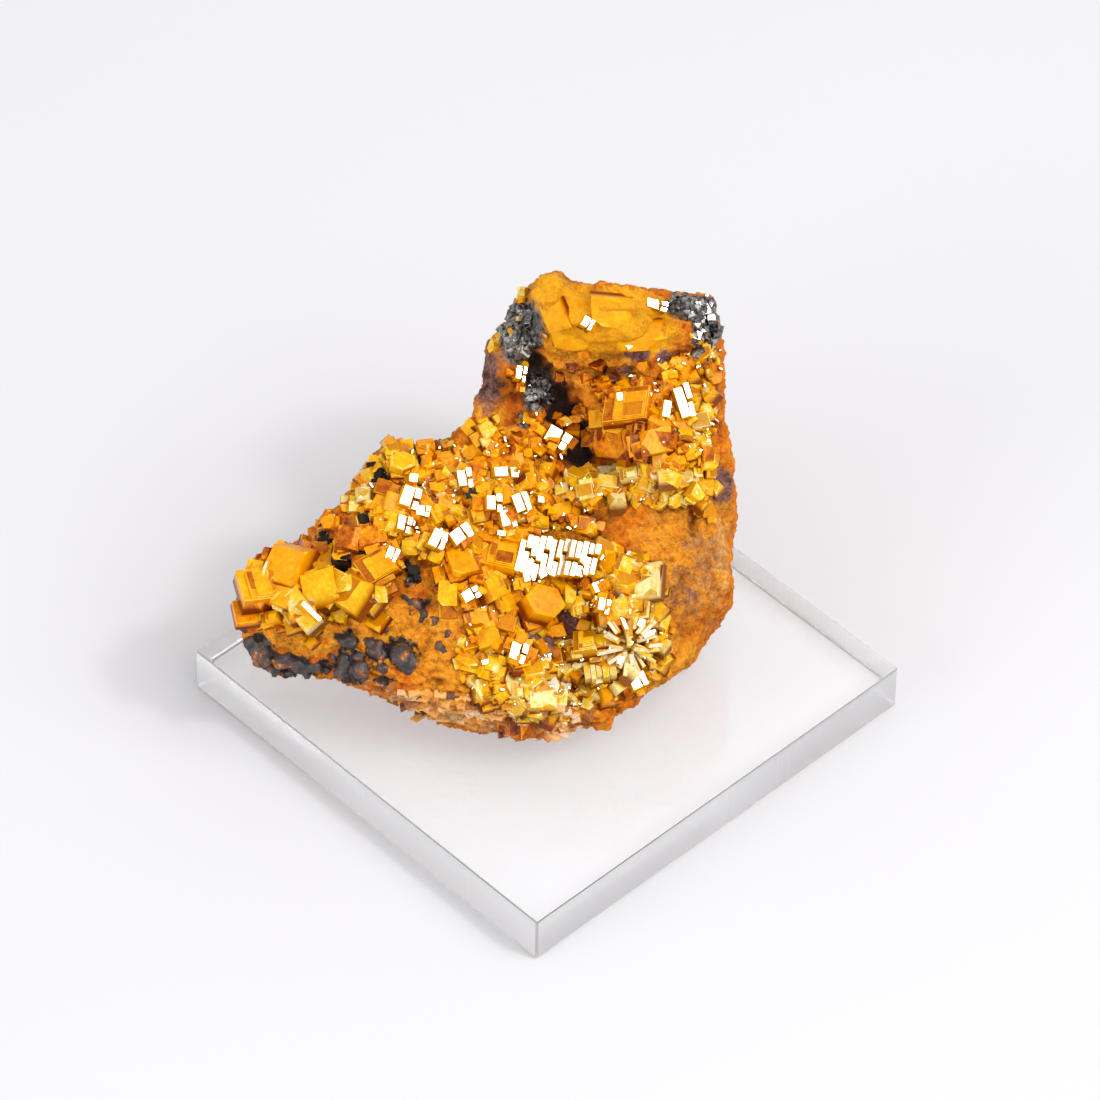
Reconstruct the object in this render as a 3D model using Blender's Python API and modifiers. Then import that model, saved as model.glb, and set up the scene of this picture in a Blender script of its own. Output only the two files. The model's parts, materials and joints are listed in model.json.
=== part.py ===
"""A mimetite specimen: yellow-orange crystals grown on a lump of limonite, which rests on a clear acrylic square."""

import math
import random

import bmesh
import bpy
from mathutils import Euler, Matrix, Vector
from mathutils.bvhtree import BVHTree

MM = 0.001
SEED = 7

# The acrylic square. Its edges lie along X and Y, and its underside is at z = 0.
BASE_SIDE = 110 * MM
BASE_THICKNESS = 12 * MM
BASE_CHAMFER = 0.5 * MM
BASE_TOP = Vector((0, 0, BASE_THICKNESS))

# The specimen faces a viewer who looks down at one corner of the square. Its own axes are across (to
# that viewer's right), away (from the viewer, level) and up, from the middle of the square's top face.
FACING_TURN = math.radians(46)

# The viewer's angles in degrees, the distance, and the eye's offset across and up, in mm.
VIEW_AZIMUTH = 45.94
VIEW_ELEVATION = 45.46
VIEW_ROLL = 0.79
VIEW_DISTANCE = 1519.5
EYE_OFFSET = (0.74, 24.0)

# A shift too small to see, for a Boolean step that has to be tried again.
NUDGE = Vector((0.011, 0.007, 0.005)) * MM
# The least share of its volume that a shape keeps in each kind of Boolean step.
LEAST_SHARE = {"DIFFERENCE": 0.1, "UNION": 0.5, "INTERSECT": 0.3}

# The air left between neighbouring solids, and the height at which the limonite is cut flat to sit.
CONTACT_GAP = 0.3 * MM
SEAT_GAP = 0.3 * MM

# The limonite, as boulders that run into each other: centre and size in mm along across, away and up,
# turns in degrees about the same three axes, and squareness (0 is a ball, 1 is a block).
BOULDERS = {
    "crystal_slope": ((3, 3, 11), (62, 60, 34), (41, 2, 4), 0.5),
    "left_field": ((-25, 8, 24), (46, 47, 32), (31, 5, -4), 0.55),
    "left_ridge": ((-38, 9, 26), (24, 26, 26), (22, -12, 0), 0.5),
    "front_band": ((-20, -10, 14), (50, 31, 22), (26, 9, -8), 0.6),
    "left_lobe": ((-52.5, -3, 17.5), (33, 28, 22), (6, -2, -6), 0.65),
    "right_body": ((19, 10, 19), (38, 42, 42), (24, -6, 24), 0.35),
    "right_flank": ((28, 22, 34), (24, 30, 42), (-8, -4, 18), 0.45),
    "shelf_lip": ((21, 13.5, 39), (34, 14, 9), (26, -6, 8), 0.45),
    "tower": ((18, 35, 50), (40, 23, 58), (-26, 0, 0), 0.7),
    "tower_top": ((15, 37, 71), (38, 21, 20), (-14, 3, 0), 0.4),
    "tower_right": ((28, 31, 48), (20, 24, 44), (-20, 4, 10), 0.5),
    "tower_left": ((-3, 37, 50), (20, 22, 46), (-22, 10, 0), 0.5),
    "saddle": ((-10, 23, 35), (26, 28, 30), (14, 0, 0), 0.4),
    "dome": ((-13, 23, 46), (11, 13, 13), (0, 0, 0), 0.1),
    "back": ((4, 31, 18), (56, 34, 38), (0, 0, 6), 0.5),
    "back_left": ((-14, 38, 20), (30, 22, 30), (12, 0, 26), 0.6),
    "back_right": ((20, 42, 26), (28, 20, 44), (-10, 6, -24), 0.6),
    "back_knob": ((4, 50, 46), (26, 16, 28), (-16, -8, 10), 0.5),
}

# Hollows, given in the same way.
HOLLOWS = {
    "crevice": ((3, 21, 54), (7, 14, 30), (-30, -36, 0), 0.2),
    "crevice_foot": ((7, 18, 50), (10, 15, 12), (0, 0, 0), 0.1),
    "shelf_recess": ((14, 17, 44), (12, 8, 6), (10, 0, 0), 0.2),
    "left_pit": ((-34, -19, 24), (8, 8, 6), (0, 0, 0), 0.1),
    "back_hollow": ((-6, 54, 34), (24, 14, 12), (0, 10, 0), 0.2),
}

# The rim of the limonite as the viewer sees it, in mm across and up from the middle of the square.
OUTLINE = [
    (-68.6, 11), (-68.2, 18.5), (-63.8, 22.5), (-58.5, 24), (-53, 27.5), (-50, 32.5), (-48, 33), (-42.5, 37.5),
    (-40, 40.5), (-38, 47), (-34.5, 48.5), (-29, 48), (-24, 47.5), (-21, 49), (-18.5, 51), (-15.5, 54.5),
    (-13.5, 58), (-14.5, 63), (-13, 68), (-10.5, 70), (-9, 75), (-7, 80), (-3.5, 84), (1, 86), (4, 85.5),
    (6, 83), (13.5, 83), (24, 82), (37, 80.5), (38.8, 73), (40, 62), (42, 49), (42.3, 30), (42, 13),
    (40, 7.5), (37, 4.6), (34.3, 1.3), (31.7, -2.4), (26.5, -4.7), (21, -8.7), (16, -12), (13.5, -15.7),
    (5.5, -16.3), (0, -17.3), (-4, -18.3), (-9, -17.8), (-17, -16.3), (-26, -13.8), (-32.5, -10.8),
    (-39, -7.8), (-47, -4.8), (-54.5, -5.3), (-61, -4.3), (-63.3, -2.8), (-67.5, 4),
]
VOXEL = 1.4 * MM
LIMONITE_FACES = 1800

# How deep the middle of a bed lies below the surface, and how far crystals and knobs reach into it.
BED_DEPTH = 1.3 * MM
DARK_BED_DEPTH = 1.6 * MM
CRYSTAL_ROOT = 1.3 * MM
KNOB_ROOT = 2.0 * MM

# Crystal groups. A bed is a flat cushion that joins the crystals at their roots: across, up, width,
# height and thickness in mm. A crystal is given as across, up, width, height, rise above the rock, turn
# in degrees as seen by the viewer, and number of sides. The scatter adds small ones over an ellipse:
# how many, across, up, width, height, and smallest and largest size.
CRYSTAL_GROUPS = {
    "mimetite_left_tip": {
        "beds": [(-60, 15, 17, 15, 4.2), (-50, 17, 18, 17, 4.2), (-41, 19, 15, 15, 4.2), (-47, 26, 12, 9, 4.2)],
        "crystals": [
            (-64.6, 15.0, 7.5, 8.8, 3.5, 8, 4), (-56.6, 20.0, 9.3, 10.4, 4.5, -12, 4),
            (-49.7, 15.2, 8.2, 9.6, 4.5, 20, 6), (-42.6, 13.8, 8.2, 8.4, 4, -24, 4),
            (-53.5, 10.1, 4.8, 10.4, 4, 44, 4), (-58.8, 12.6, 3.6, 4.2, 4, 10, 4),
            (-62.6, 21.2, 3.8, 3.2, 2.5, 0, 6), (-49.9, 23.4, 4.6, 4.0, 3, 14, 4),
            (-37.3, 20.0, 8.4, 6.6, 3.5, 30, 4), (-36.8, 14.7, 3.2, 3.8, 2.5, 0, 4),
            (-43.6, 25.1, 5.3, 7.0, 3, -6, 4), (-47.9, 29.6, 3.4, 3.4, 2.5, 0, 6),
        ],
        "scatter": (4, -46, 22, 20, 10, 2.6, 3.6),
    },
    "mimetite_left_ridge": {
        "beds": [(-32, 42, 16, 10, 4.2), (-30, 33, 16, 16, 4.2), (-34, 25, 14, 10, 4.2)],
        "crystals": [
            (-26.8, 46.6, 3.6, 3.6, 2, 10, 4), (-32.4, 46.2, 6.0, 3.6, 1.5, 0, 4), (-32.2, 42.4, 5.7, 4.6, 3, 0, 6),
            (-38.2, 26.6, 6.0, 4.9, 3, 20, 6), (-33.1, 29.6, 5.7, 7.0, 2.6, 12, 4), (-30.9, 35.0, 5.0, 5.2, 3.4, -18, 4),
            (-28.0, 32.4, 3.6, 3.0, 2.6, -10, 4), (-34.9, 22.5, 3.2, 3.6, 2.6, -25, 4), (-40.5, 36.0, 3.0, 3.0, 2, 10, 6),
            (-24.7, 25.8, 4.2, 4.9, 3, -24, 4),
        ],
        "scatter": (7, -31, 35, 18, 22, 2.8, 4.2),
    },
    "mimetite_middle_field": {
        "beds": [(-16, 37, 18, 12, 4.2), (-13, 27, 18, 16, 4.2), (-15, 17, 18, 12, 4.2)],
        "crystals": [
            (-19.6, 27.1, 5.4, 4.4, 3, -35, 4), (-18.7, 39.5, 3.8, 4.4, 2.6, 8, 4), (-17.4, 13.8, 4.9, 3.8, 2.6, 28, 4),
            (-12.3, 34.0, 4.4, 4.4, 3, 0, 6), (-9.2, 30.6, 4.2, 4.4, 3, 10, 4), (-6.3, 34.0, 4.2, 4.9, 3.2, 0, 6),
            (-9.4, 40.8, 6.6, 3.0, 2.4, 0, 4), (-10.8, 22.3, 9.0, 8.0, 2.6, -14, 4), (-18.5, 20.5, 7.3, 7.5, 2.4, 16, 4),
            (-12.3, 15.4, 5.5, 5.5, 2.6, 22, 6), (-21.4, 14.3, 4.6, 5.7, 2.4, 0, 4),
        ],
        "scatter": (6, -14, 28, 20, 26, 2.8, 4.4),
    },
    "mimetite_striated_plate": {
        "beds": [(2, 21.5, 17, 11, 4.2)],
        "crystals": [(-6.6 + 1.55 * i, 22.6 - 0.1 * i, 1.75, 9.6 + 1.6 * (i % 3 == 1) - 0.5 * i % 2, 3 + 0.4 * (i % 2),
                      -17, 4) for i in range(12)],
        "scatter": (0, 0, 0, 0, 0, 1, 1),
    },
    "mimetite_centre": {
        "beds": [(2, 11.2, 17, 8, 4.2), (11, 12.5, 8, 9, 4.2)],
        "crystals": [
            (-1.5, 11.6, 8.8, 8.0, 4.5, 12, 6), (5.2, 13.4, 3.2, 4.6, 3, 0, 4), (7.8, 11.0, 3.0, 3.8, 3, 10, 4),
            (11.8, 11.2, 3.4, 3.8, 3, -12, 4), (10.9, 14.6, 3.6, 3.4, 2.6, 20, 4),
        ],
        "scatter": (1, 4, 10.5, 12, 5, 2.2, 3.2),
    },
    "mimetite_rosette": {
        "beds": [(18.5, 12, 13, 17, 4.2), (17.5, 2.5, 15, 13, 4.2), (10, 1, 11, 12, 4.2)],
        "crystals": [
            (23.2, 17.8, 4.4, 8.0, 2.4, 14, 4), (17.6, 16.4, 7.0, 7.4, 2.4, -20, 6), (15.8, 10.6, 5.4, 5.4, 2.6, 20, 6),
            (21.6, 9.6, 5.0, 6.4, 2.4, -30, 4), (8.9, 3.0, 6.0, 6.4, 2.6, 10, 4), (11.8, -3.0, 7.6, 5.4, 2.4, 8, 4),
            (15.5, -6.6, 3.0, 3.0, 2, 30, 4),
        ] + [(18 + 4.2 * math.cos(math.radians(45 * i)), 3.2 + 4.2 * math.sin(math.radians(45 * i)), 2.3, 7.6, 2.8,
              45 * i - 90, 4) for i in range(8)],
        "scatter": (2, 18, 12, 12, 14, 2.6, 3.4),
    },
    "mimetite_front_druse": {
        "beds": [(-8, 1, 17, 14, 4.2), (-3, -8, 14, 8, 4.2)],
        "crystals": [
            (-7.0, 0.8, 4.6, 5.2, 2.6, -22, 4), (-0.8, -9.2, 6.6, 5.0, 2.8, 0, 4), (-12.8, 4.2, 5.6, 5.0, 2.4, 20, 6),
            (-3.0, -3.0, 5.0, 5.0, 2.4, 14, 6), (-12.0, -2.2, 4.6, 5.0, 2.4, -10, 4),
        ],
        "scatter": (6, -7, -2, 18, 15, 2.8, 4.0),
    },
    "mimetite_shelf": {
        "beds": [(11, 37.5, 13, 7, 4.2), (20, 39.5, 14, 7, 4.2), (29, 37.5, 12, 8, 4.2)],
        "crystals": [
            (8.6, 37.2, 4.4, 3.6, 2.4, 10, 4), (14.0, 39.2, 5.0, 3.4, 2.2, -8, 4), (20.0, 40.8, 4.6, 3.4, 2.4, 12, 4),
            (26.0, 40.4, 5.0, 3.6, 2.2, 0, 6), (32.6, 36.6, 4.4, 4.0, 2.2, -30, 4),
        ],
        "scatter": (2, 20, 39.5, 24, 4, 2.4, 3.2),
    },
    "mimetite_tower_mass": {
        "beds": [(12.5, 75, 25, 13, 4.2), (1.6, 80, 10, 11, 4.2), (18, 78, 15, 9, 4.2)],
        "crystals": [
            (0.6, 80.8, 7.4, 8.4, 3, 14, 6), (15.3, 79.2, 10.0, 6.6, 3, -6, 4), (24.0, 78.8, 6.2, 3.2, 2.6, -14, 4),
            (9.4, 74.2, 3.6, 3.6, 3.2, -28, 4), (5.2, 76.0, 6.4, 6.0, 2.6, 24, 4), (19.0, 73.2, 7.2, 5.6, 2.4, 10, 6),
        ],
        "scatter": (2, 12, 74, 24, 10, 3, 4.4),
    },
    "mimetite_tower_face": {
        "beds": [(18, 55.5, 15, 11, 4.2), (16, 49, 14, 10, 4.2), (24, 51, 14, 11, 4.2), (29, 55, 10, 11, 4.2)],
        "crystals": [
            (18.0, 55.9, 11.6, 8.6, 3.4, 6, 4), (14.9, 47.6, 10.0, 7.4, 2.8, -8, 4), (24.2, 48.0, 8.0, 6.4, 2.8, 12, 4),
            (29.9, 56.3, 4.4, 8.0, 3, 14, 4), (25.7, 54.6, 2.8, 4.6, 3, -12, 4), (33.6, 52.6, 4.6, 3.6, 2.2, 10, 4),
        ],
        "scatter": (3, 22, 51, 20, 11, 2.6, 3.6),
    },
}

# Dark growths, given as beds and as knobs: across, up, width, height and rise.
DARK_GROUPS = {
    "goethite_left_crust": {
        "beds": [(-60.5, 0.2, 11, 7, 3.6), (-54.5, -1.4, 10, 6, 3.6)],
        "knobs": [
            (-63.0, 1.4, 5.2, 6.2, 2.6), (-58.8, -0.4, 4.6, 4.6, 2), (-55.0, -1.4, 5.0, 4.0, 1.8), (-51.6, -1.6, 4.0, 3.6, 1.4),
            (-60.4, -2.4, 4.4, 3.2, 1.6), (-65.4, 4.0, 3.2, 3.6, 1.2),
        ],
    },
    "goethite_front_crust": {
        "beds": [(-42.4, -1, 9, 9, 3.6), (-35, 0.6, 13, 6, 3.6)],
        "knobs": [
            (-44.4, -1.4, 4.6, 5.2, 2), (-41.6, -2.4, 4.8, 5.2, 2.2), (-44.2, 3.6, 3.9, 3.8, 1.8), (-37.8, 1.7, 4.6, 4.2, 2.2),
            (-31.8, 0.8, 6.2, 7.0, 2.8), (-39.4, 3.4, 3.0, 3.0, 1.4), (-36.0, -1.8, 3.4, 3.0, 1.4),
        ],
    },
    "galena_right_crust": {
        "beds": [(32.6, 77.4, 8, 5, 3.6), (35, 72.6, 5, 9, 3.6)],
        "knobs": [
            (30.2, 78.2, 3.4, 3.2, 1.6), (33.6, 78.2, 3.8, 3.0, 1.8), (36.0, 75.4, 3.0, 3.6, 1.4), (35.4, 71.4, 3.4, 3.8, 1.6),
            (35.8, 68.2, 2.6, 3.0, 1.2),
        ],
    },
    "galena_left_crust": {
        "beds": [(-4.4, 72, 7, 10, 3.6)],
        "knobs": [
            (-6.2, 75.6, 3.2, 3.2, 1.8), (-3.4, 76.0, 3.4, 3.0, 1.8), (-5.6, 71.6, 3.6, 3.4, 2), (-2.4, 71.0, 3.2, 3.8, 1.8),
            (-4.4, 67.8, 3.4, 3.4, 1.8),
        ],
    },
}


def clear_scene():
    for obj in list(bpy.data.objects):
        bpy.data.objects.remove(obj, do_unlink=True)


def new_collection(name, hidden=False):
    made = bpy.data.collections.new(name)
    bpy.context.scene.collection.children.link(made)
    made.hide_render = hidden
    return made


def make_material(name, colour, roughness, metallic=0.0, transmission=0.0, ior=1.5):
    made = bpy.data.materials.new(name)
    made.use_nodes = True
    shader = made.node_tree.nodes["Principled BSDF"]
    shader.inputs["Base Color"].default_value = (*colour, 1.0)
    shader.inputs["Roughness"].default_value = roughness
    shader.inputs["Metallic"].default_value = metallic
    shader.inputs["Transmission Weight"].default_value = transmission
    shader.inputs["IOR"].default_value = ior
    return made


def new_object(name, bm, collection, material=None):
    mesh = bpy.data.meshes.new(name)
    bm.to_mesh(mesh)
    bm.free()
    obj = bpy.data.objects.new(name, mesh)
    collection.objects.link(obj)
    if material:
        mesh.materials.append(material)
    return obj


def as_cutter(obj):
    obj.hide_render = True
    obj.display_type = "WIRE"
    return obj


def apply_modifiers(obj):
    bpy.context.view_layer.update()
    graph = bpy.context.evaluated_depsgraph_get()
    mesh = bpy.data.meshes.new_from_object(obj.evaluated_get(graph))
    obj.modifiers.clear()
    obj.data = mesh


def closed_volume(mesh):
    """The volume of a closed mesh, or 0 for an open or empty one."""
    bm = bmesh.new()
    bm.from_mesh(mesh)
    volume = 0.0
    if all(len(edge.link_faces) == 2 for edge in bm.edges):
        volume = bm.calc_volume(signed=True)
    bm.free()
    return volume


def combine(obj, other, operation, self_overlap=False):
    """A Boolean step. Faces that nearly coincide can break it, so it is tried again with a tiny shift."""
    before = obj.data
    least = closed_volume(before) * LEAST_SHARE[operation]
    for attempt in range(10):
        obj.data = before.copy()
        step = obj.modifiers.new(operation.lower(), "BOOLEAN")
        step.operation = operation
        step.solver = "EXACT"
        step.use_self = self_overlap or attempt % 2 == 1
        step.use_hole_tolerant = attempt > 5
        step.object = other
        apply_modifiers(obj)
        if closed_volume(obj.data) > least:
            return obj
        other.location += NUDGE
    raise RuntimeError(f"{obj.name} can't be combined with {other.name}")


def connected_faces(start, left):
    """Takes out of the faces left those that are joined to the start across edges."""
    piece = [start]
    left.discard(start)
    for face in piece:
        for edge in face.edges:
            if len(edge.link_faces) == 2:
                fresh = [f for f in edge.link_faces if f in left]
                left.difference_update(fresh)
                piece.extend(fresh)
    return piece


def keep_largest_piece(obj):
    """Drops loose chips and closed bubbles."""
    bm = bmesh.new()
    bm.from_mesh(obj.data)
    left = set(bm.faces)
    pieces = []
    while left:
        pieces.append(connected_faces(next(iter(left)), left))
    largest = max(pieces, key=len)
    spare = [face for piece in pieces if piece is not largest for face in piece]
    bmesh.ops.delete(bm, geom=spare, context="FACES")
    bmesh.ops.delete(bm, geom=[edge for edge in bm.edges if not edge.link_faces], context="EDGES")
    open_edges = [edge for edge in bm.edges if len(edge.link_faces) == 1]
    if open_edges:
        filled = bmesh.ops.holes_fill(bm, edges=open_edges)
        bmesh.ops.triangulate(bm, faces=filled["faces"])
    bm.to_mesh(obj.data)
    bm.free()


def tidy_faces(obj, angle):
    """Merges faces that lie in one plane, so flat crystal faces stay whole."""
    bm = bmesh.new()
    bm.from_mesh(obj.data)
    bmesh.ops.remove_doubles(bm, verts=bm.verts, dist=0.02 * MM)
    bmesh.ops.dissolve_degenerate(bm, edges=bm.edges, dist=0.01 * MM)
    bmesh.ops.dissolve_limit(bm, angle_limit=math.radians(angle), verts=bm.verts, edges=bm.edges)
    bmesh.ops.triangulate(bm, faces=bm.faces)
    bm.to_mesh(obj.data)
    bm.free()


def view_axes():
    azimuth, elevation, roll = (math.radians(a) for a in (VIEW_AZIMUTH, VIEW_ELEVATION, VIEW_ROLL))
    level = Vector((math.cos(azimuth), math.sin(azimuth), 0))
    out = Vector((level.y, -level.x, 0))
    back = out * math.cos(elevation) + Vector((0, 0, math.sin(elevation)))
    steep = back.cross(level)
    across = level * math.cos(roll) + steep * math.sin(roll)
    up = steep * math.cos(roll) - level * math.sin(roll)
    return across, up, back


ACROSS, UP, BACK = view_axes()
EYE = BASE_TOP + (BACK * VIEW_DISTANCE + ACROSS * EYE_OFFSET[0] + UP * EYE_OFFSET[1]) * MM


def in_view(across, up):
    return BASE_TOP + (ACROSS * across + UP * up) * MM


def specimen_to_world():
    return Matrix.Translation(BASE_TOP) @ Matrix.Rotation(FACING_TURN, 4, "Z")


def add_boulder(bm, centre, size, turns, squareness):
    """Adds a cube that is blown up towards a ball, then scaled and turned."""
    one = bmesh.new()
    bmesh.ops.create_cube(one, size=2.0)
    bmesh.ops.subdivide_edges(one, edges=one.edges, cuts=5, use_grid_fill=True)
    turn = Euler([math.radians(t) for t in turns]).to_matrix().to_4x4()
    place = specimen_to_world() @ Matrix.Translation(Vector(centre) * MM) @ turn
    for vert in one.verts:
        ball = vert.co.normalized() * 1.1
        shaped = ball.lerp(vert.co, squareness)
        vert.co = place @ Vector([c * s * MM / 2 for c, s in zip(shaped, size)])
    mesh = bpy.data.meshes.new("boulder")
    one.to_mesh(mesh)
    one.free()
    bm.from_mesh(mesh)
    bpy.data.meshes.remove(mesh)


def boulder_pile(name, table, collection):
    bm = bmesh.new()
    for centre, size, turns, squareness in table.values():
        add_boulder(bm, centre, size, turns, squareness)
    pile = new_object(name, bm, collection)
    skin(pile, VOXEL)
    return pile


def skin(obj, size):
    step = obj.modifiers.new("skin", "REMESH")
    step.mode = "VOXEL"
    step.voxel_size = size
    apply_modifiers(obj)


def roughen(obj, size, strength):
    texture = bpy.data.textures.new("relief", "CLOUDS")
    texture.noise_scale = size
    texture.noise_depth = 2
    step = obj.modifiers.new("relief", "DISPLACE")
    step.texture = texture
    step.texture_coords = "LOCAL"
    step.strength = strength
    step.mid_level = 0.5
    apply_modifiers(obj)


def outline_prism(collection):
    """The rim seen by the viewer, carried along the lines of sight."""
    bm = bmesh.new()
    near = [bm.verts.new(EYE + (in_view(a, u) - EYE) * 0.92) for a, u in OUTLINE]
    far = [bm.verts.new(EYE + (in_view(a, u) - EYE) * 1.08) for a, u in OUTLINE]
    bm.faces.new(near)
    bm.faces.new(list(reversed(far)))
    for i, vert in enumerate(near):
        j = (i + 1) % len(near)
        bm.faces.new((vert, far[i], far[j], near[j]))
    bmesh.ops.recalc_face_normals(bm, faces=bm.faces)
    return as_cutter(new_object("outline", bm, collection))


def seat_block(collection):
    """All the room above the acrylic square."""
    bm = bmesh.new()
    bmesh.ops.create_cube(bm, size=0.4)
    bmesh.ops.translate(bm, verts=bm.verts, vec=BASE_TOP + Vector((0, 0, 0.2 + SEAT_GAP)))
    return as_cutter(new_object("seat", bm, collection))


def build_limonite(collection, cutters, material):
    rock = boulder_pile("limonite_matrix", BOULDERS, collection)
    hollows = as_cutter(boulder_pile("hollows", HOLLOWS, cutters))
    combine(rock, hollows, "DIFFERENCE")
    soften(rock, 6)
    roughen(rock, 11 * MM, 3.2 * MM)
    roughen(rock, 5 * MM, 1.6 * MM)
    combine(rock, outline_prism(cutters), "INTERSECT")
    skin(rock, VOXEL)
    roughen(rock, 7 * MM, 2.2 * MM)
    soften(rock, 1)
    step = rock.modifiers.new("fewer_faces", "DECIMATE")
    step.ratio = LIMONITE_FACES / (2 * len(rock.data.polygons))
    apply_modifiers(rock)
    keep_largest_piece(rock)
    bare = fattened(rock, "limonite_and_gap", cutters)
    combine(rock, seat_block(cutters), "INTERSECT")
    rock.data.materials.clear()
    rock.data.materials.append(material)
    return rock, bare


def soften(obj, times):
    step = obj.modifiers.new("soften", "SMOOTH")
    step.iterations = times
    apply_modifiers(obj)


class Surface:
    """Finds the limonite's surface along a line of sight."""

    def __init__(self, rock):
        bm = bmesh.new()
        bm.from_mesh(rock.data)
        self.tree = BVHTree.FromBMesh(bm)
        bm.free()

    def at(self, across, up):
        aim = (in_view(across, up) - EYE).normalized()
        point, normal, _, _ = self.tree.ray_cast(EYE, aim)
        if point is None:
            return None, None
        near = [self.tree.ray_cast(EYE, (in_view(across + a, up + u) - EYE).normalized())[1]
                for a, u in ((2, 0), (-2, 0), (0, 2), (0, -2))]
        total = normal.copy()
        for other in near:
            total += other if other is not None else Vector()
        return point, total.normalized()


def frame_on(point, axis, turn):
    """A matrix whose Z is the axis and whose X is the viewer's right, turned about Z."""
    side = UP.cross(axis).normalized()
    top = axis.cross(side)
    basis = Matrix((side, top, axis)).transposed().to_4x4()
    return Matrix.Translation(point) @ basis @ Matrix.Rotation(math.radians(turn), 4, "Z")


def add_prism(bm, place, sides, width, height, low, high):
    """A prism standing on its axis. Four sides make a block, six a hexagonal crystal."""
    made = bmesh.ops.create_cone(bm, cap_ends=True, segments=sides, radius1=1, radius2=1, depth=1)
    start = math.pi / sides
    reach = math.cos(start)
    for vert in made["verts"]:
        x, y, z = vert.co
        turned = Matrix.Rotation(start, 2) @ Vector((x, y))
        co = Vector((turned.x * width / 2 / reach, turned.y * height / 2 / reach, high if z > 0 else low))
        vert.co = place @ co


def add_cushion(bm, place, width, height, thickness):
    """A flat eight-sided pad, wider at the top."""
    made = bmesh.ops.create_cone(bm, cap_ends=True, segments=8, radius1=0.8, radius2=1, depth=1)
    for vert in made["verts"]:
        vert.co = place @ Vector((vert.co.x * width / 2, vert.co.y * height / 2, vert.co.z * thickness))


def add_knob(bm, place, width, height, low, high):
    made = bmesh.ops.create_icosphere(bm, subdivisions=1, radius=1)
    for vert in made["verts"]:
        z = vert.co.z * (high if vert.co.z > 0 else low)
        vert.co = place @ Vector((vert.co.x * width / 2, vert.co.y * height / 2, z))


def growth_axis(normal, lean, random_source):
    wander = Vector([random_source.uniform(-1, 1) for _ in range(3)])
    return (normal * 0.6 + BACK * 0.15 + Vector((0, 0, 0.4)) + wander * lean).normalized()


def crystal_rows(group, random_source):
    """The crystals listed by hand, then the small scattered ones."""
    rows = [(*row, 0.10) for row in group["crystals"]]
    count, across, up, width, height, small, large = group["scatter"]
    for _ in range(count):
        angle = random_source.uniform(0, 2 * math.pi)
        reach = math.sqrt(random_source.random())
        size = random_source.uniform(small, large)
        rows.append((
            across + reach * width / 2 * math.cos(angle), up + reach * height / 2 * math.sin(angle),
            size, size * random_source.uniform(0.8, 1.3), random_source.uniform(1.4, 2.6),
            random_source.uniform(-45, 45), random_source.choice((4, 6)), 0.35,
        ))
    return rows


def add_beds(beds, surface, depth, grow, collection):
    parts = bmesh.new()
    for across, up, width, height, thickness in beds:
        point, normal = surface.at(across, up)
        place = frame_on(point - normal * depth, normal, 0)
        add_cushion(parts, place, width * MM + 2 * grow, height * MM + 2 * grow, thickness * MM + 2 * grow)
    return new_object("beds", parts, collection)


def crystal_group(name, group, surface, collection, limonite):
    """One solid: the pads in the limonite and the crystals that stand on them."""
    source = random.Random(len(group["crystals"]) + SEED)
    parts = bmesh.new()
    for across, up, width, height, rise, turn, sides, lean in crystal_rows(group, source):
        point, normal = surface.at(across, up)
        if point is not None:
            place = frame_on(point, growth_axis(normal, lean, source), turn)
            add_prism(parts, place, sides, width * MM, height * MM, -CRYSTAL_ROOT, rise * MM)
    whole = add_beds(group["beds"], surface, BED_DEPTH, 0.0, collection)
    return join_group(name, whole, parts, collection, limonite)


def dark_group(name, group, surface, collection, limonite):
    parts = bmesh.new()
    for across, up, width, height, rise in group["knobs"]:
        point, normal = surface.at(across, up)
        if point is not None:
            add_knob(parts, frame_on(point, normal, 0), width * MM, height * MM, KNOB_ROOT, rise * MM)
    whole = add_beds(group["beds"], surface, DARK_BED_DEPTH, 0.0, collection)
    return join_group(name, whole, parts, collection, limonite)


def join_group(name, whole, parts, collection, limonite):
    """Trims the standing shapes to the limonite and joins them and their pads into one closed body."""
    standing = new_object("standing", parts, collection)
    combine(standing, limonite, "DIFFERENCE", self_overlap=True)
    combine(whole, standing, "UNION", self_overlap=True)
    bpy.data.objects.remove(standing, do_unlink=True)
    whole.name = name
    whole.data.name = name
    return whole


def fattened(obj, name, collection):
    """A copy that is thicker by the contact gap all round, to cut neighbours with."""
    copy = obj.copy()
    copy.data = obj.data.copy()
    copy.name = name
    collection.objects.link(copy)
    step = copy.modifiers.new("gap", "DISPLACE")
    step.strength = CONTACT_GAP
    step.mid_level = 0
    apply_modifiers(copy)
    return as_cutter(copy)


def boxes_meet(one, other):
    """Whether the bounding boxes of two solids touch."""
    spans = []
    for obj in (one, other):
        coords = [v.co for v in obj.data.vertices]
        spans.append([(min(c[i] for c in coords), max(c[i] for c in coords)) for i in range(3)])
    return all(a[0] < b[1] and b[0] < a[1] for a, b in zip(*spans))


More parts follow.
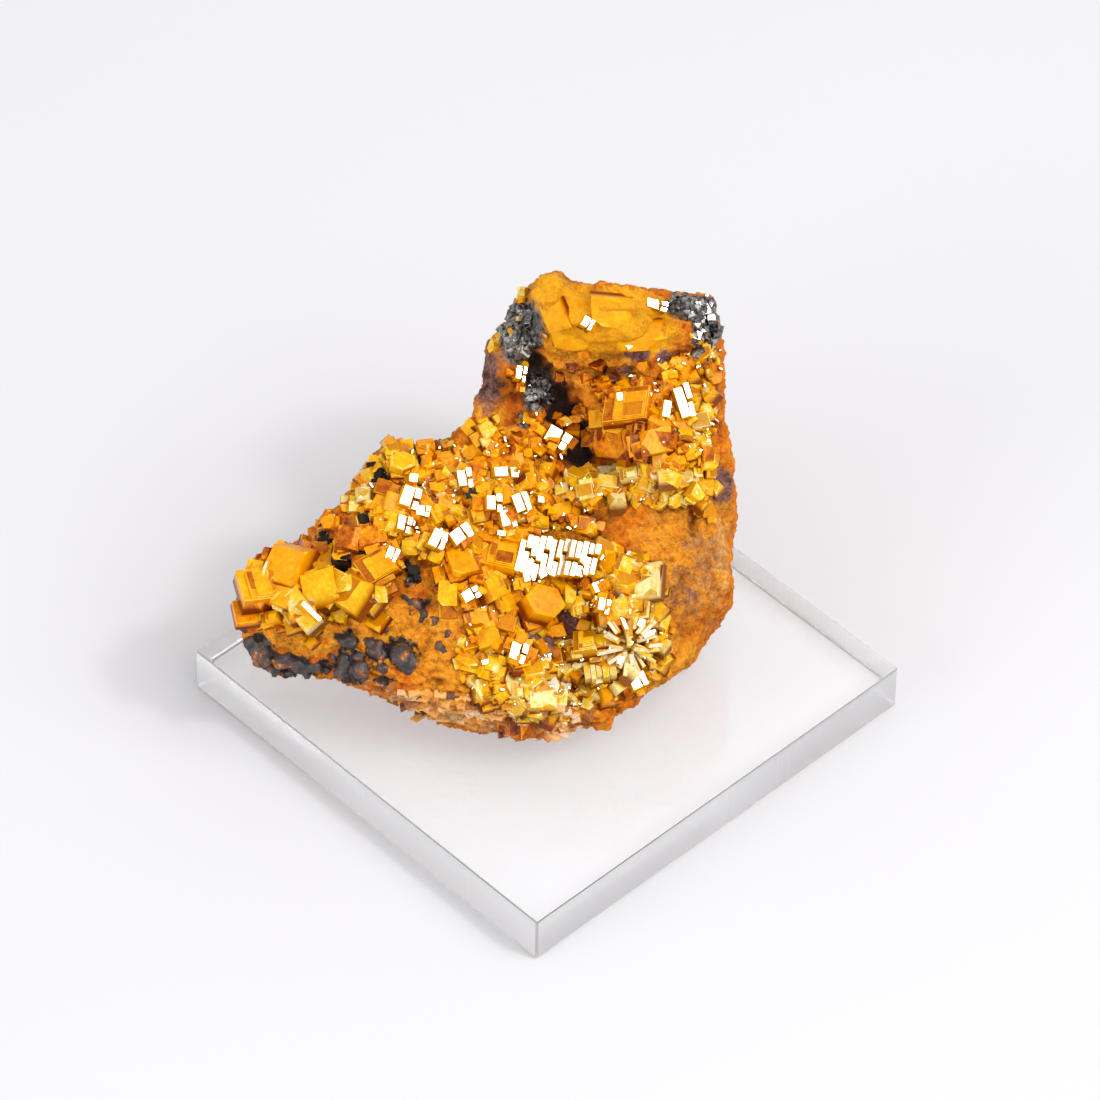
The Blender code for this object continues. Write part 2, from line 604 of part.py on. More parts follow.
def build_groups(rock, limonite, collection, cutters, materials):
    """Grows every group on the limonite, keeping a thin gap to each neighbour."""
    surface = Surface(rock)
    seat = cutters.objects["seat"]
    neighbours = []
    for table, maker, depth in ((CRYSTAL_GROUPS, crystal_group, BED_DEPTH), (DARK_GROUPS, dark_group, DARK_BED_DEPTH)):
        for name, group in table.items():
            solid = maker(name, group, surface, collection, limonite)
            for earlier in neighbours:
                if boxes_meet(solid, earlier):
                    combine(solid, earlier, "DIFFERENCE")
            combine(solid, seat, "INTERSECT")
            keep_largest_piece(solid)
            tidy_faces(solid, 1.5)
            keep_largest_piece(solid)
            solid.data.materials.clear()
            solid.data.materials.append(materials[name.split("_")[0]])
            neighbours.append(fattened(solid, name + "_and_gap", cutters))
            socket = as_cutter(add_beds(group["beds"], surface, depth, CONTACT_GAP, cutters))
            combine(rock, socket, "DIFFERENCE", self_overlap=True)
    keep_largest_piece(rock)
    tidy_faces(rock, 3.0)
    keep_largest_piece(rock)


def build_base(collection, material):
    bm = bmesh.new()
    bmesh.ops.create_cube(bm, size=1.0)
    for vert in bm.verts:
        vert.co = Vector((vert.co.x * BASE_SIDE, vert.co.y * BASE_SIDE, (vert.co.z + 0.5) * BASE_THICKNESS))
    base = new_object("acrylic_base", bm, collection, material)
    bevel = base.modifiers.new("eased_edges", "BEVEL")
    bevel.width = BASE_CHAMFER
    bevel.segments = 1
    return base


def main():
    clear_scene()
    specimen = new_collection("mimetite_specimen")
    cutters = new_collection("cutters", hidden=True)
    materials = {
        "acrylic": make_material("clear_acrylic", (0.97, 0.97, 0.98), 0.03, transmission=1.0, ior=1.49),
        "limonite": make_material("limonite", (0.55, 0.20, 0.02), 0.9),
        "mimetite": make_material("mimetite", (0.82, 0.42, 0.02), 0.25),
        "goethite": make_material("goethite", (0.05, 0.04, 0.04), 0.4),
        "galena": make_material("galena", (0.25, 0.25, 0.27), 0.3, metallic=1.0),
    }
    build_base(specimen, materials["acrylic"])
    rock, limonite = build_limonite(specimen, cutters, materials["limonite"])
    build_groups(rock, limonite, specimen, cutters, materials)


main()
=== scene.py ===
import json
import math
import random

import bmesh
import bpy
import numpy as np
from mathutils import Matrix, Vector, noise
from mathutils.bvhtree import BVHTree

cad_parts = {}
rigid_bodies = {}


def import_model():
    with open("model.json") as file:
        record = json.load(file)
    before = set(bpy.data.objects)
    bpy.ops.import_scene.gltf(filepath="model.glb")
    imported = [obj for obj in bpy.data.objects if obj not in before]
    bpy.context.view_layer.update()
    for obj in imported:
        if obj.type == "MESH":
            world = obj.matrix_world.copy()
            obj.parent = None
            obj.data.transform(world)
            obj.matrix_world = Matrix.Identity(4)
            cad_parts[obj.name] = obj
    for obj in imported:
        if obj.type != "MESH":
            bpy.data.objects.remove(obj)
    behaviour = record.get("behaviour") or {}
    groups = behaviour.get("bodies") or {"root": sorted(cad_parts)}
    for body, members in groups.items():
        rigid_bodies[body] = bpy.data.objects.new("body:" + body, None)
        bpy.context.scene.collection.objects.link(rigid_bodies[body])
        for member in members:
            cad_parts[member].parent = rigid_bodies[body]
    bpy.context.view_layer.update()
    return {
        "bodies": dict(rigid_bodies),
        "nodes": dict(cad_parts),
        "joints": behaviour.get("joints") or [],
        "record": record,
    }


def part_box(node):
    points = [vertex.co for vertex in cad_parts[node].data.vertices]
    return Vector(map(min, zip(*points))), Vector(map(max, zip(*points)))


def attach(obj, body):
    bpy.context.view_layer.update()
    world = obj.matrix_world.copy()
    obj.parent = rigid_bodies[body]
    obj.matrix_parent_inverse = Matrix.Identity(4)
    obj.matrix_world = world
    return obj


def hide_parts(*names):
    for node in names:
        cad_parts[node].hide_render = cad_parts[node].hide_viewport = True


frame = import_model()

bl_info = {
    "name": "Mimetite Specimen",
    "version": (1, 0, 0),
    "blender": (4, 5, 0),
    "location": "View3D > Sidebar > Mimetite",
    "description": "Builds a mimetite specimen on limonite, resting on a square of clear acrylic",
    "category": "Add Mesh",
}

MM = 0.001
PER_METRE = 1000
BASE_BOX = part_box("acrylic_base")
BASE_TOP = Vector((0, 0, BASE_BOX[1][2]))

# The viewer: angles in degrees, distance and the eye's offset across and up in mm, lens and sensor in mm.
VIEW_AZIMUTH = 45.94
VIEW_ELEVATION = 45.46
VIEW_ROLL = 0.79
VIEW_DISTANCE = 1519.5
EYE_OFFSET = (0.74, 24.0)
LENS = 224.8
SENSOR = 36.0

# Lights: direction as right, away and up for the viewer, size and distance from the target in metres.
TARGET = BASE_TOP + Vector((0, 0, 30 * MM))
LIGHTS = {
    "key": ((0.50, -0.30, 0.80), 2.0, 2.6),
    "glint": ((0.50, -0.30, 0.80), 0.10, 0.95),
    "fill": ((-0.75, -0.55, 0.30), 1.2, 2.0),
}
WORLD_COLOUR = (0.97, 0.97, 1.0)
FLOOR_SIZE = 12.0
FLOOR_DROP = 0.2 * MM

CRYSTAL_NODES = [
    "mimetite_left_tip", "mimetite_left_ridge", "mimetite_middle_field", "mimetite_striated_plate",
    "mimetite_centre", "mimetite_rosette", "mimetite_front_druse", "mimetite_shelf",
    "mimetite_tower_mass", "mimetite_tower_face",
]
DARK_NODES = ["goethite_left_crust", "goethite_front_crust", "galena_right_crust", "galena_left_crust"]

# Crystals, listed by group: across and up in mm as the viewer sees them, width, height, rise above the rock
# and turn in degrees. Form and tone follow, the tone from below 0 (nearly black) over 0.5 (golden) to 1
# (pale lemon). A crystal without them catches the light with bright flat faces, whose tops get a painted
# white highlight.
CRYSTALS = {
    "mimetite_left_tip": [
        (-64.6, 15, 7.5, 9.2, 3.6, 8, "step", 0.5), (-56.6, 20, 9.3, 10.6, 4.8, -12, "cut", 0.55),
        (-49.7, 15.2, 8.4, 9.8, 5, 20, "rough2", 0.6), (-42.6, 13.8, 8, 8.4, 4.4, -24, "block", 0.56),
        (-53.5, 10.1, 4.6, 9.4, 4.6, 44, "block", 0.8), (-58.8, 12.6, 3.6, 4.2, 4.2, 10, "hex", 0.76),
        (-62.6, 21.2, 3.8, 3.2, 2.6, 0, "cut", 0.3), (-49.9, 23.4, 4.6, 4, 3, 14, "block", 0.45),
        (-37.3, 20, 8, 6.6, 3.6, 30, "step", 0.5), (-36.8, 14.7, 3.2, 3.8, 2.8, 0, "block", 0.78),
        (-43.6, 26.4, 5.3, 6, 3, -6, "block", 0.34), (-47.9, 29.6, 3.4, 3.4, 2.6, 0, "cut", 0.4),
        (-51, 27.6, 2.9, 2.9, 2.2, 20, "cut", 0.42), (-65.6, 9.6, 3.6, 3, 2.4, 12, "block", 0.45),
        (-45.4, 9.6, 3.6, 3, 2.8, -20, "block", 0.66), (-60.4, 8.6, 4.2, 3, 2.8, 15, "step", 0.54),
        (-40.2, 20.2, 4.4, 4, 3, 10, "cut", 0.5), (-53, 24.4, 3.4, 3, 2.4, -20, "block", 0.46),
        (-45, 20.8, 4.4, 4.4, 3.4, 6, "rough1", -0.3), (-48.6, 25.6, 3.6, 2.6, 3, 26, "rough3", -0.3),
        (-40.2, 24, 3.2, 2.6, 3, 40, "rough5", -0.3), (-53.6, 9.4, 1.4, 7.6, 5.2, 44),
        (-29.8, 19, 2.4, 3, 3, 10, "rough2", -0.3), (-61.4, 18, 1, 6.4, 4.6, -8, "block", 0.9),
    ],
    "mimetite_left_ridge": [
        (-26.8, 46.6, 3.8, 3.6, 2.2, 10, "block", 0.42), (-34, 46.4, 3.2, 3, 2, 0, "cut", 0.7),
        (-30.8, 46.6, 3.2, 3, 2, 12, "block", 0.62), (-32.2, 42.4, 5.7, 4.6, 3.2, 0, "hex", 0.62),
        (-38.2, 26.6, 6, 4.9, 3.2, 20, "cut", 0.35), (-33.6, 30.4, 5.4, 5.6, 2.8, 12, "block", 0.66),
        (-30.9, 35, 4.8, 5.2, 3.4, -18), (-28, 32.2, 3.6, 2.6, 3, -10), (-32.4, 29, 3.6, 4.2, 3.6, -16),
        (-34.9, 22.5, 3, 3.6, 3, -25), (-40.5, 36, 3, 3, 2.2, 10, "cut", 0.85),
        (-24.7, 25.8, 4, 4.8, 3.2, -24), (-37.2, 31.8, 3.8, 3.8, 2.6, 6, "step", 0.5),
        (-36, 37, 3.8, 4, 2.8, -20, "block", 0.45), (-27.6, 40.4, 4, 3.8, 2.6, 22, "cut", 0.55),
        (-24, 37.6, 3.8, 3.4, 2.6, 10, "block", 0.5), (-24.4, 31.4, 4, 4.4, 2.6, 14, "step", 0.55),
        (-30.2, 24.8, 3.8, 3.4, 2.6, 0, "block", 0.6), (-42.6, 33.4, 2.8, 2.6, 2, 0, "block", 0.75),
        (-37.8, 41.4, 2.8, 3.4, 2.2, -14, "block", 0.68), (-30.2, 39.4, 2.2, 2.2, 2.8, -10),
        (-37.6, 40, 3, 3.4, 2.6, 8, "rough4", -0.2), (-29.4, 43, 3.2, 2.2, 2.4, 8, "rough6", -0.2),
        (-40.4, 30.2, 2.6, 2.8, 2.6, 8, "rough1", -0.2), (-22.8, 43.8, 3.6, 3.2, 2.2, 8, "cut", 0.48),
    ],
    "mimetite_middle_field": [
        (-19.6, 27.1, 5.6, 3.6, 3.2, 35), (-18.7, 39.5, 3.8, 4.4, 2.8, 8), (-17.4, 13.8, 4.8, 2.8, 3, 28),
        (-12.3, 34, 4.2, 4, 3.2, 0), (-9.2, 30.6, 3.8, 4.2, 3.2, 12), (-6.3, 34, 4, 4.8, 3.6, 20),
        (-9.4, 40.8, 6.6, 2.6, 2.6, 0), (-10.8, 22.3, 8.6, 7.6, 3, -14, "step", 0.46),
        (-18.5, 20.5, 6.8, 7, 3, 16, "cut", 0.42), (-12.3, 15.4, 5.5, 5.5, 3, 22, "block", 0.5),
        (-21.4, 14.3, 4.6, 5.4, 2.8, 0, "block", 0.55), (-2, 34.6, 1.8, 1.6, 2.8, -14),
        (-10.8, 27.2, 2.2, 1.4, 3, -10), (-22.4, 34.4, 3.8, 4, 2.6, -10, "block", 0.44),
        (-15.6, 31, 3.6, 3.6, 2.8, 15, "step", 0.58), (-16.4, 36.8, 3.4, 2.8, 3, 15, "rough3", -0.2),
        (-14, 37.6, 4.2, 3.2, 2.6, -12, "block", 0.52), (-6.6, 26.6, 4.2, 3.8, 2.8, 18, "block", 0.52),
        (-4.2, 38.8, 4.4, 3.4, 2.4, 8, "cut", 0.45), (-16.2, 24.6, 3.4, 3, 3.2, -20, "block", 0.62),
        (-5.6, 16.8, 3.6, 3.6, 2.8, 6, "block", 0.55), (-2.2, 29.6, 4.2, 3.4, 2.6, -10, "step", 0.55),
        (3.6, 32.6, 4.8, 3.6, 2.4, 14, "block", 0.52), (-4.6, 17.6, 3, 2.4, 3, 14),
        (8.8, 29.4, 4.2, 3.4, 2.2, -8, "block", 0.46),
    ],
    "mimetite_centre": [
        (-1.5, 11.6, 8.6, 7.8, 4.8, 12, "hex", 0.42), (5.2, 13.4, 3, 5.2, 3.4, 0, "block", 0.72),
        (7.8, 11, 3, 3.8, 3.2, 10, "plate", 0.66), (11.8, 11.2, 3.2, 3.6, 3.4, -12),
        (10.9, 15.4, 3.4, 2.8, 3.2, 20), (-1, 18.4, 3.4, 1.8, 3.2, 30),
        (2.4, 6.8, 3.6, 3, 2.4, 12, "block", 0.4), (8.6, 7, 3.6, 3, 2.6, -18, "block", 0.45),
    ],
    "mimetite_rosette": [
        (22.8, 17, 5.6, 8.4, 2.4, 10, "rough3", 0.86), (20, 12.6, 5, 6.6, 2.4, -16, "rough5", 0.7),
        (17, 17.6, 6.2, 6, 2.8, -20, "cut", 0.62), (13.6, 20.4, 5.4, 4.6, 2.6, 16, "block", 0.58),
        (15.8, 10.8, 4.6, 4.4, 3, 20, "cut", 0.78), (19.6, 21, 4.6, 3.2, 2.6, 24, "block", 0.66),
        (8.9, 3, 5.6, 6, 2.8, 10, "step", 0.62), (11.8, -3, 7.2, 5, 2.6, 8, "plate", 0.8),
        (15.5, -6.6, 3, 3, 2.2, 30, "block", 0.82), (19.6, -5.2, 4.4, 3.6, 2.8, 26),
        (25, 8.4, 3.4, 4, 2.4, -20, "block", 0.74),
    ],
    "mimetite_front_druse": [
        (-7, 0.8, 4.4, 4.8, 3, -22), (-0.8, -9.2, 6.6, 5, 2, 0, "rough3", 0.8),
        (-12.8, 4.2, 5.2, 4.6, 2.6, 20, "cut", 0.56), (-3, -3, 5, 4.6, 2.6, 14, "block", 0.64),
        (-12, -2.2, 4.4, 4.6, 2.6, -10, "block", 0.68), (-14.4, -1.4, 2.2, 1.4, 3, 10),
        (-6.4, -14.6, 6.4, 4.6, 2.6, 8, "block", 0.3), (-8.6, 7.4, 4.4, 4, 2.6, -16, "block", 0.5),
        (-14.6, 8.8, 4, 3.6, 2.6, 12, "block", 0.54), (-7.8, -7.2, 4.4, 4, 2.6, 0, "step", 0.7),
        (-13.4, -8.6, 3.8, 3.4, 2.4, 18, "block", 0.6),
    ],
    "mimetite_shelf": [
        (8.6, 37.2, 4.2, 3.2, 2.6, 10, "block", 0.74), (13.6, 38.8, 4.6, 3, 2.6, -8, "block", 0.8),
        (18.4, 40.4, 4.2, 3, 2.6, 12, "step", 0.82), (23, 41.4, 4.2, 3.2, 2.4, 0, "cut", 0.72),
        (27.8, 39.8, 4.4, 3.4, 2.4, -22, "block", 0.7), (32.6, 36.8, 4, 3.8, 2.4, -30, "block", 0.66),
        (16, 36.6, 3.4, 2.6, 2.4, 20, "block", 0.62), (21, 37.4, 3.6, 2.8, 2.2, -10, "block", 0.55),
        (3.6, 36.8, 3.6, 3, 2.4, 16, "block", 0.68), (35.2, 33.2, 3, 3, 2, 10, "block", 0.62),
    ],
    "mimetite_tower_mass": [
        (1.6, 75.6, 6.2, 7, 0.15, 10, "rough3", 0.54), (14.6, 76.4, 9.8, 7.6, 0.2, -6, "rough1", 0.56),
        (24.4, 78.2, 5.6, 2.4, 0.9, -14), (9, 74.2, 3, 3, 1, -28),
        (20.6, 71, 9.6, 8, 0.15, 4, "rough5", 0.54), (5.4, 71, 8.4, 8, 0.15, 12, "rough2", 0.54),
        (25, 73.6, 6, 6.4, 0.2, 12, "rough4", 0.56), (17.8, 69, 1.6, 1.6, 1.4, 30),
    ],
    "mimetite_tower_face": [
        (6, 64.6, 3.2, 2.4, 1.4, 12, "rough1", 0.14), (11, 65.2, 3.6, 2.4, 1.4, -20, "rough4", 0.22),
        (17, 64.2, 3.2, 2.6, 1.4, 30, "rough2", 0.16), (21.4, 65, 2.8, 2.2, 1.4, 8, "rough5", 0.3),
        (3.2, 62.4, 2.6, 2.2, 1.2, -8, "rough3", 0.1), (9, 62.4, 2.8, 2, 1.2, 16, "rough6", 0.26),
        (14.2, 62.2, 3.2, 2, 1.2, -14, "rough2", 0.12), (8.2, 67.4, 2.6, 1.8, 1, 20, "rough1", 0.34),
        (18, 55.9, 11.4, 8.4, 2.4, 6, "step", 0.44), (14.9, 47.6, 9.6, 7.2, 2.2, -8, "rough2", 0.32),
        (24.2, 48, 7.6, 6, 2.4, 12, "rough5", 0.42), (15.4, 57.6, 1.6, 2, 2.6, 4),
        (19.8, 54, 2.2, 0.8, 2.6, -4), (13.6, 51.8, 1.2, 1.8, 2.4, 16), (21.6, 57.8, 2.6, 0.7, 2.6, 8),
        (29.9, 56.3, 4, 8, 3.2, 14), (25.7, 54.8, 2, 4.4, 3.4, -12),
        (33.8, 52.6, 4.4, 3.4, 2.4, 10, "block", 0.84), (35.6, 43.4, 3.8, 3.8, 2.4, 0, "cut", 0.64),
        (22.6, 60.4, 3.8, 3.2, 2.4, 18, "block", 0.36), (30.4, 49.2, 3.8, 3.6, 2.6, -16, "block", 0.6),
        (28.8, 43.6, 3.8, 3.6, 2.4, 14, "block", 0.5), (12.8, 60.6, 3.6, 2.8, 2.2, 14, "block", 0.34),
        (34.6, 47.6, 3, 3.2, 2.2, 20, "block", 0.74), (-5, 80.2, 2.4, 3.6, 2.6, 10, "cut", 0.95),
        (-6.3, 62.5, 2.8, 4, 2.8, -10), (1.8, 48.2, 6.2, 4.6, 2.8, -30),
        (-13.6, 50.4, 3.4, 4.2, 2.6, 30, "cut", 0.72), (35.2, 59.4, 2.2, 4.6, 2.6, 10, "block", 0.8),
    ],
}

# Where small crystals cover the rock: across, up, half width, half height, how many, and mean tone.
DRUSE = [
    (-58, 16, 10, 9, 46, 0.5), (-45, 20, 12, 9, 70, 0.5), (-36, 27, 8, 8, 70, 0.55),
    (-32, 38, 9, 10, 120, 0.62), (-24, 43, 9, 5, 60, 0.6), (-22, 32, 10, 12, 130, 0.56),
    (-12, 36, 12, 7, 120, 0.58), (-12, 22, 13, 12, 170, 0.54), (0, 31, 12, 8, 110, 0.5),
    (2, 15, 12, 7, 90, 0.5), (14, 16, 9, 9, 110, 0.66), (18, 4, 9, 10, 130, 0.76), (8, -2, 9, 9, 100, 0.72),
    (-8, 1, 12, 12, 210, 0.66), (-2, -9, 8, 5, 60, 0.82), (14, 38, 12, 4, 90, 0.7),
    (28, 38, 9, 5, 70, 0.66), (-6, 43, 9, 5, 60, 0.46), (18, 52, 12, 8, 100, 0.42),
    (30, 52, 7, 10, 110, 0.62), (34, 66, 4, 8, 40, 0.55), (-6, 72, 6, 9, 16, 0.62), (0, 50, 7, 5, 34, 0.44),
    (-13, 48, 4, 5, 24, 0.42), (24, 62, 9, 5, 50, 0.44),
]

# Colour patches of the limonite as the viewer sees them: across, up, half width, half height, strength.
PATCHES = {
    # Amber crust under the crystals, its dark speckle partly painted shade between them.
    "crust": [
        (-56, 17, 12, 10, 1), (-44, 19, 12, 10, 1), (-34, 34, 11, 15, 1), (-27, 45, 8, 4, 1),
        (-20, 33, 12, 12, 1), (-12, 23, 14, 13, 1), (1, 29, 14, 10, 0.8), (2, 13, 11, 8, 0.8),
        (17, 12, 9, 11, 1), (16, 2, 11, 10, 1), (8, -5, 9, 7, 1), (-8, 1, 11, 12, 1), (-3, -9, 8, 5, 1),
        (12, 37.5, 14, 4, 1), (28, 38, 10, 5, 1), (-4, 41, 13, 6, 0.8), (12, 74, 17, 8, 1),
        (1, 80, 8, 7, 1), (18, 51, 12, 8, 0.8), (30, 52, 8, 10, 0.8), (-5, 72, 6, 8, 0.6),
        (34, 63, 4, 10, 0.5),
    ],
    "mauve": [
        (5, 8, 6, 3, 1), (-1, 5, 4, 4, 1), (31, 15, 8, 9, 0.5), (39, 38, 3, 4, 1), (20, 67, 3, 2, 1),
        (26, 66, 2, 2, 1), (-4, -13, 8, 3, 0.7), (-19, -12, 8, 2.5, 0.6), (-13, 63, 3, 9, 1),
        (36, 20, 5, 12, 0.5), (24, 31, 6, 2.6, 0.4), (33, 26, 5, 4, 0.5), (22, 25, 8, 4, 0.3),
    ],
    # Painted shade in the crevice beside the tower and in hollows between crystals, partly the rock's own
    # dark brown.
    "dark": [
        (7.5, 48, 4, 5, 1.5), (5, 52, 3.5, 4, 1.4), (2, 56, 3, 4, 1.3), (-1, 60, 2.6, 4, 1.2),
        (-3, 64, 2.4, 3, 1.1), (-6, 12, 3, 4, 0.7), (11, 40.5, 3.5, 1.4, 0.9), (31, 45, 4, 5, 0.7),
        (-45, 21, 4, 4, 0.9), (-40, 23, 2.4, 2, 0.8), (-49, 26, 3, 2, 0.7), (-10, 60, 2.6, 5, 0.7),
        (-13.4, 62.5, 1.6, 5, 0.9), (28, 33, 3, 5, 0.5), (30, 36, 1.6, 4, 0.7), (33, 32, 1.2, 3, 0.6),
        (10, 62.5, 6, 1.4, 0.6), (20, 61.5, 4, 1.2, 0.6), (6, 67, 3, 1.2, 0.5), (15, 66.2, 5, 1, 0.5),
        (30, 64, 3, 3, 0.8), (-31, 41, 5, 3, 0.5), (-39, 31, 3, 4, 0.5), (-22, 22, 3, 3, 0.5),
    ],
    # Pale tan layers. The wide patch at -50, 4.4 is painted light that lifts a lower left face turned away
    # from the lamps.
    "pale": [
        (-31, -11, 6, 3, 1), (-42, -6, 6, 2.5, 0.6), (-12, -14, 8, 3, 0.8), (39, 22, 3, 16, 0.6),
        (-22, -13, 10, 2.5, 0.8), (38, 6, 4, 5, 0.5), (-50, 4.4, 12, 4, 0.3), (-13, 51, 5, 4, 0.5),
        (2, -12, 6, 3, 0.6),
    ],
    "saffron": [(12, 75, 15, 8, 1), (1, 79, 6, 7, 1), (22, 72, 8, 6, 0.9), (17, 52, 8, 7, 0.6)],
    "black": [
        (-58, -2, 9, 2.6, 1), (-64.5, 1.6, 3.4, 3.4, 1), (-43, -2, 4.6, 4, 0.9), (-32, 0.8, 4, 4, 0.9),
        (-37.5, 1.4, 3.4, 3, 0.8), (-44, 4, 3, 2.4, 0.8), (-50, -2, 4, 2, 0.7), (-28, 11, 3, 3, 0.6),
        (-36, -5, 3, 1.6, 0.6),
    ],
    "metal": [
        (32, 78, 6, 3.4, 1), (35.2, 72, 3, 6, 1), (-5.6, 72, 4.6, 8, 1), (-2, 58.6, 4, 5, 0.9),
        (-45.4, 21, 3.4, 3, 0.8), (-16.4, 36.8, 2, 2, 0.7), (-5, 52.6, 2, 2, 0.8),
    ],
    "earth": [
        (-50, 5, 14, 5, 1), (-30, 5, 14, 8, 1), (-20, -4, 10, 9, 0.8), (30, 22, 12, 14, 1),
        (26, -2, 9, 10, 1), (10, 64, 14, 5, 1), (4, 50, 8, 6, 1), (36, 34, 6, 10, 1), (-13, 50, 6, 6, 1),
    ],
}

# The colours of those patches, in the order in which they are painted: how ragged the edge is, where it
# begins and ends, and the dark and light speckles.
ZONE_COLOURS = {
    "earth": (0.9, 0.35, 0.65, (0.98, 0.26, 0.003), (1.0, 0.49, 0.03)),
    # The crust's dark speckle is partly painted shade between the crystals above it.
    "crust": (0.9, 0.35, 0.65, (0.42, 0.11, 0.001), (0.97, 0.42, 0.003)),
    "saffron": (0.9, 0.35, 0.65, (1.0, 0.36, 0.001), (1.0, 0.50, 0.002)),
    "mauve": (0.9, 0.35, 0.65, (0.16, 0.06, 0.045), (0.44, 0.22, 0.18)),
    "pale": (0.9, 0.45, 0.80, (0.66, 0.30, 0.06), (0.94, 0.70, 0.42)),
    # Near black: painted shade in crevices and hollows, partly dark brown rock.
    "dark": (0.9, 0.45, 0.80, (0.012, 0.006, 0.003), (0.09, 0.035, 0.012)),
    "black": (1.62, 0.40, 0.58, (0.010, 0.009, 0.010), (0.060, 0.045, 0.042)),
    "metal": (0.9, 0.40, 0.60, (0.03, 0.028, 0.026), (0.34, 0.33, 0.32)),
}

# Where the rock bulges beyond its CAD solid: across, up, half width, half height, strength.
SWELLS = [(-12.5, 62, 4, 9, 1)]

# Broken plates along the front edge: across, up, half width, half height, how many. Then the least and
# most of a plate's width, height and thickness in mm.
FLAKES = [
    (-6, -12, 12, 3, 90), (-22, -10.5, 10, 3, 60), (-31, -8, 6, 3, 20), (5, -12, 5, 2, 14),
    (-2, -16, 5, 1.6, 20),
]
FLAKE_SIZES = ((1.6, 5.5), (1.2, 3.2), (0.4, 1.1))

# Areas without small crystals: left, low, right and high limits in mm as the viewer sees them.
CLEAR_AREAS = [
    (-7.4, 16.6, 11.4, 28.6), (0.5, 4.4, 11.8, 10.6), (2, 61.5, 24, 66.5), (13, -1.8, 23, 8.2),
    (-4, 66.5, 28, 84),
]

# Dark growths: across, up, width, height and rise in mm.
KNOBS = {
    "goethite_left_crust": [
        (-63, 1.4, 5.4, 6, 2.8), (-58.8, -0.6, 4.6, 4.4, 2.2), (-55, -1.4, 4.8, 3.8, 2),
        (-51.6, -1.8, 4, 3.4, 1.6), (-60.4, -2.4, 4.2, 3, 1.8), (-65.6, 3.8, 3.2, 3.6, 1.6),
        (-56.8, -3.2, 3.2, 2.4, 1.4), (-53.2, -3.4, 3, 2.2, 1.2), (-61.4, 3.8, 2.6, 2.4, 1.6),
        (-48.6, -2.6, 2.6, 2.2, 1.2), (-66.8, 6.6, 2, 2.6, 1.2),
    ],
    "goethite_front_crust": [
        (-44.6, -1.2, 4.4, 5.2, 2.2), (-41.4, -2.6, 4.6, 5, 2.4), (-44.2, 3.8, 3.9, 3.8, 2),
        (-37.8, 1.7, 4.6, 4.2, 2.4), (-31.8, 0.8, 6.2, 6.8, 3), (-39.6, 3.6, 2.8, 2.8, 1.6),
        (-36, -2.2, 3.2, 2.8, 1.6), (-41.6, 0.8, 2.8, 2.6, 1.8), (-47, 0.6, 2.8, 3, 1.4),
        (-36.9, 6.8, 3.6, 2, 1.4), (-28.9, 12.3, 4.6, 3.2, 1.6), (-27.1, 9.7, 2.2, 2.8, 1.4),
        (-24.9, 8.3, 2, 2.6, 1.4), (-23.8, 2.6, 2.8, 3, 1.6), (-36.2, -5.6, 3.2, 2.2, 1.4),
        (-31.2, 13.4, 2.4, 2, 1.2), (-34.2, 4.4, 2, 2.2, 1.2), (-22, 5.2, 1.8, 2, 1.2),
    ],
}

# Metallic crusts, as spreads of small plates: across, up, half width, half height, how many.
METAL = {
    "galena_right_crust": [(32, 78.4, 5, 2.6, 90), (35.2, 73, 2.4, 5, 80), (34.6, 68, 1.6, 2.4, 24)],
    "galena_left_crust": [
        (-6.4, 72.5, 3.6, 6.4, 120), (-2, 58.6, 3.2, 4.2, 60), (-5, 52.6, 1.4, 1.4, 12),
        (-45.4, 21, 3, 3, 44), (-40.4, 23.2, 1.6, 1.4, 16), (-27, 38.2, 1.2, 1, 8),
        (-16.4, 36.8, 1.8, 1.5, 14), (-30, 18.4, 1.2, 1.4, 10), (-48.2, 26.6, 2.4, 1.4, 18),
    ],
}

# The rock's skin, in mm: the size of each kind of lump and how far it moves the skin.
WAVE_SIZE, WAVE_LIFT = 7.0, 0.75
CRAG_SIZE, CRAG_LIFT = 6.0, 1.5
CHIP_SIZE, CHIP_LIFT = 2.1, 0.6
GRAIN_SIZE, GRAIN_LIFT = 1.2, 0.42
EARTH_SIZE, EARTH_LIFT = 0.7, 0.25
LEDGE_SIZE, LEDGE_LIFT = 1.9, 0.8
SKIN_DROP = 0.85
DARK_DEPTH = 1.3
SWELL_HEIGHT = 2.6
SKIN_ROOM = 0.3

# Voxel sizes in metres, for the first joining of the rock and for the knobs. Neither goes below the lowest
# height, just above the acrylic.
JOIN_DETAIL = 0.0009
KNOB_DETAIL = 0.00035
LOWEST = BASE_TOP.z + 0.1 * MM

# Crystals: how deep they stand in the rock in mm, the share of the listed rise that a plain one keeps, and
# the share of plain blocks that get a rough form.
ROOT = 2.2
SHOWN_RISE = 0.72
ROUGH_SHARE = 0.7

# Fillers: how many crowd around each crystal, and their highest tone, beside a bright face and elsewhere.
FILLERS = 7
BRIGHT_SIDE_TONE = 0.5
FILLER_TONE = 0.72

# How far crystals lean at random: the listed ones, the fillers, and the druse and metal plates.
CRYSTAL_LEAN = 0.36
FILLER_LEAN = 0.4
SMALL_LEAN = 0.6

# Crystals with a higher tone than this have a mirror-bright top face, painted near white as a highlight.
# Others that would mirror the small light to within this angle, in radians, are turned away.
GLINT_TONE = 0.86
GLINT_ANGLE = 0.14

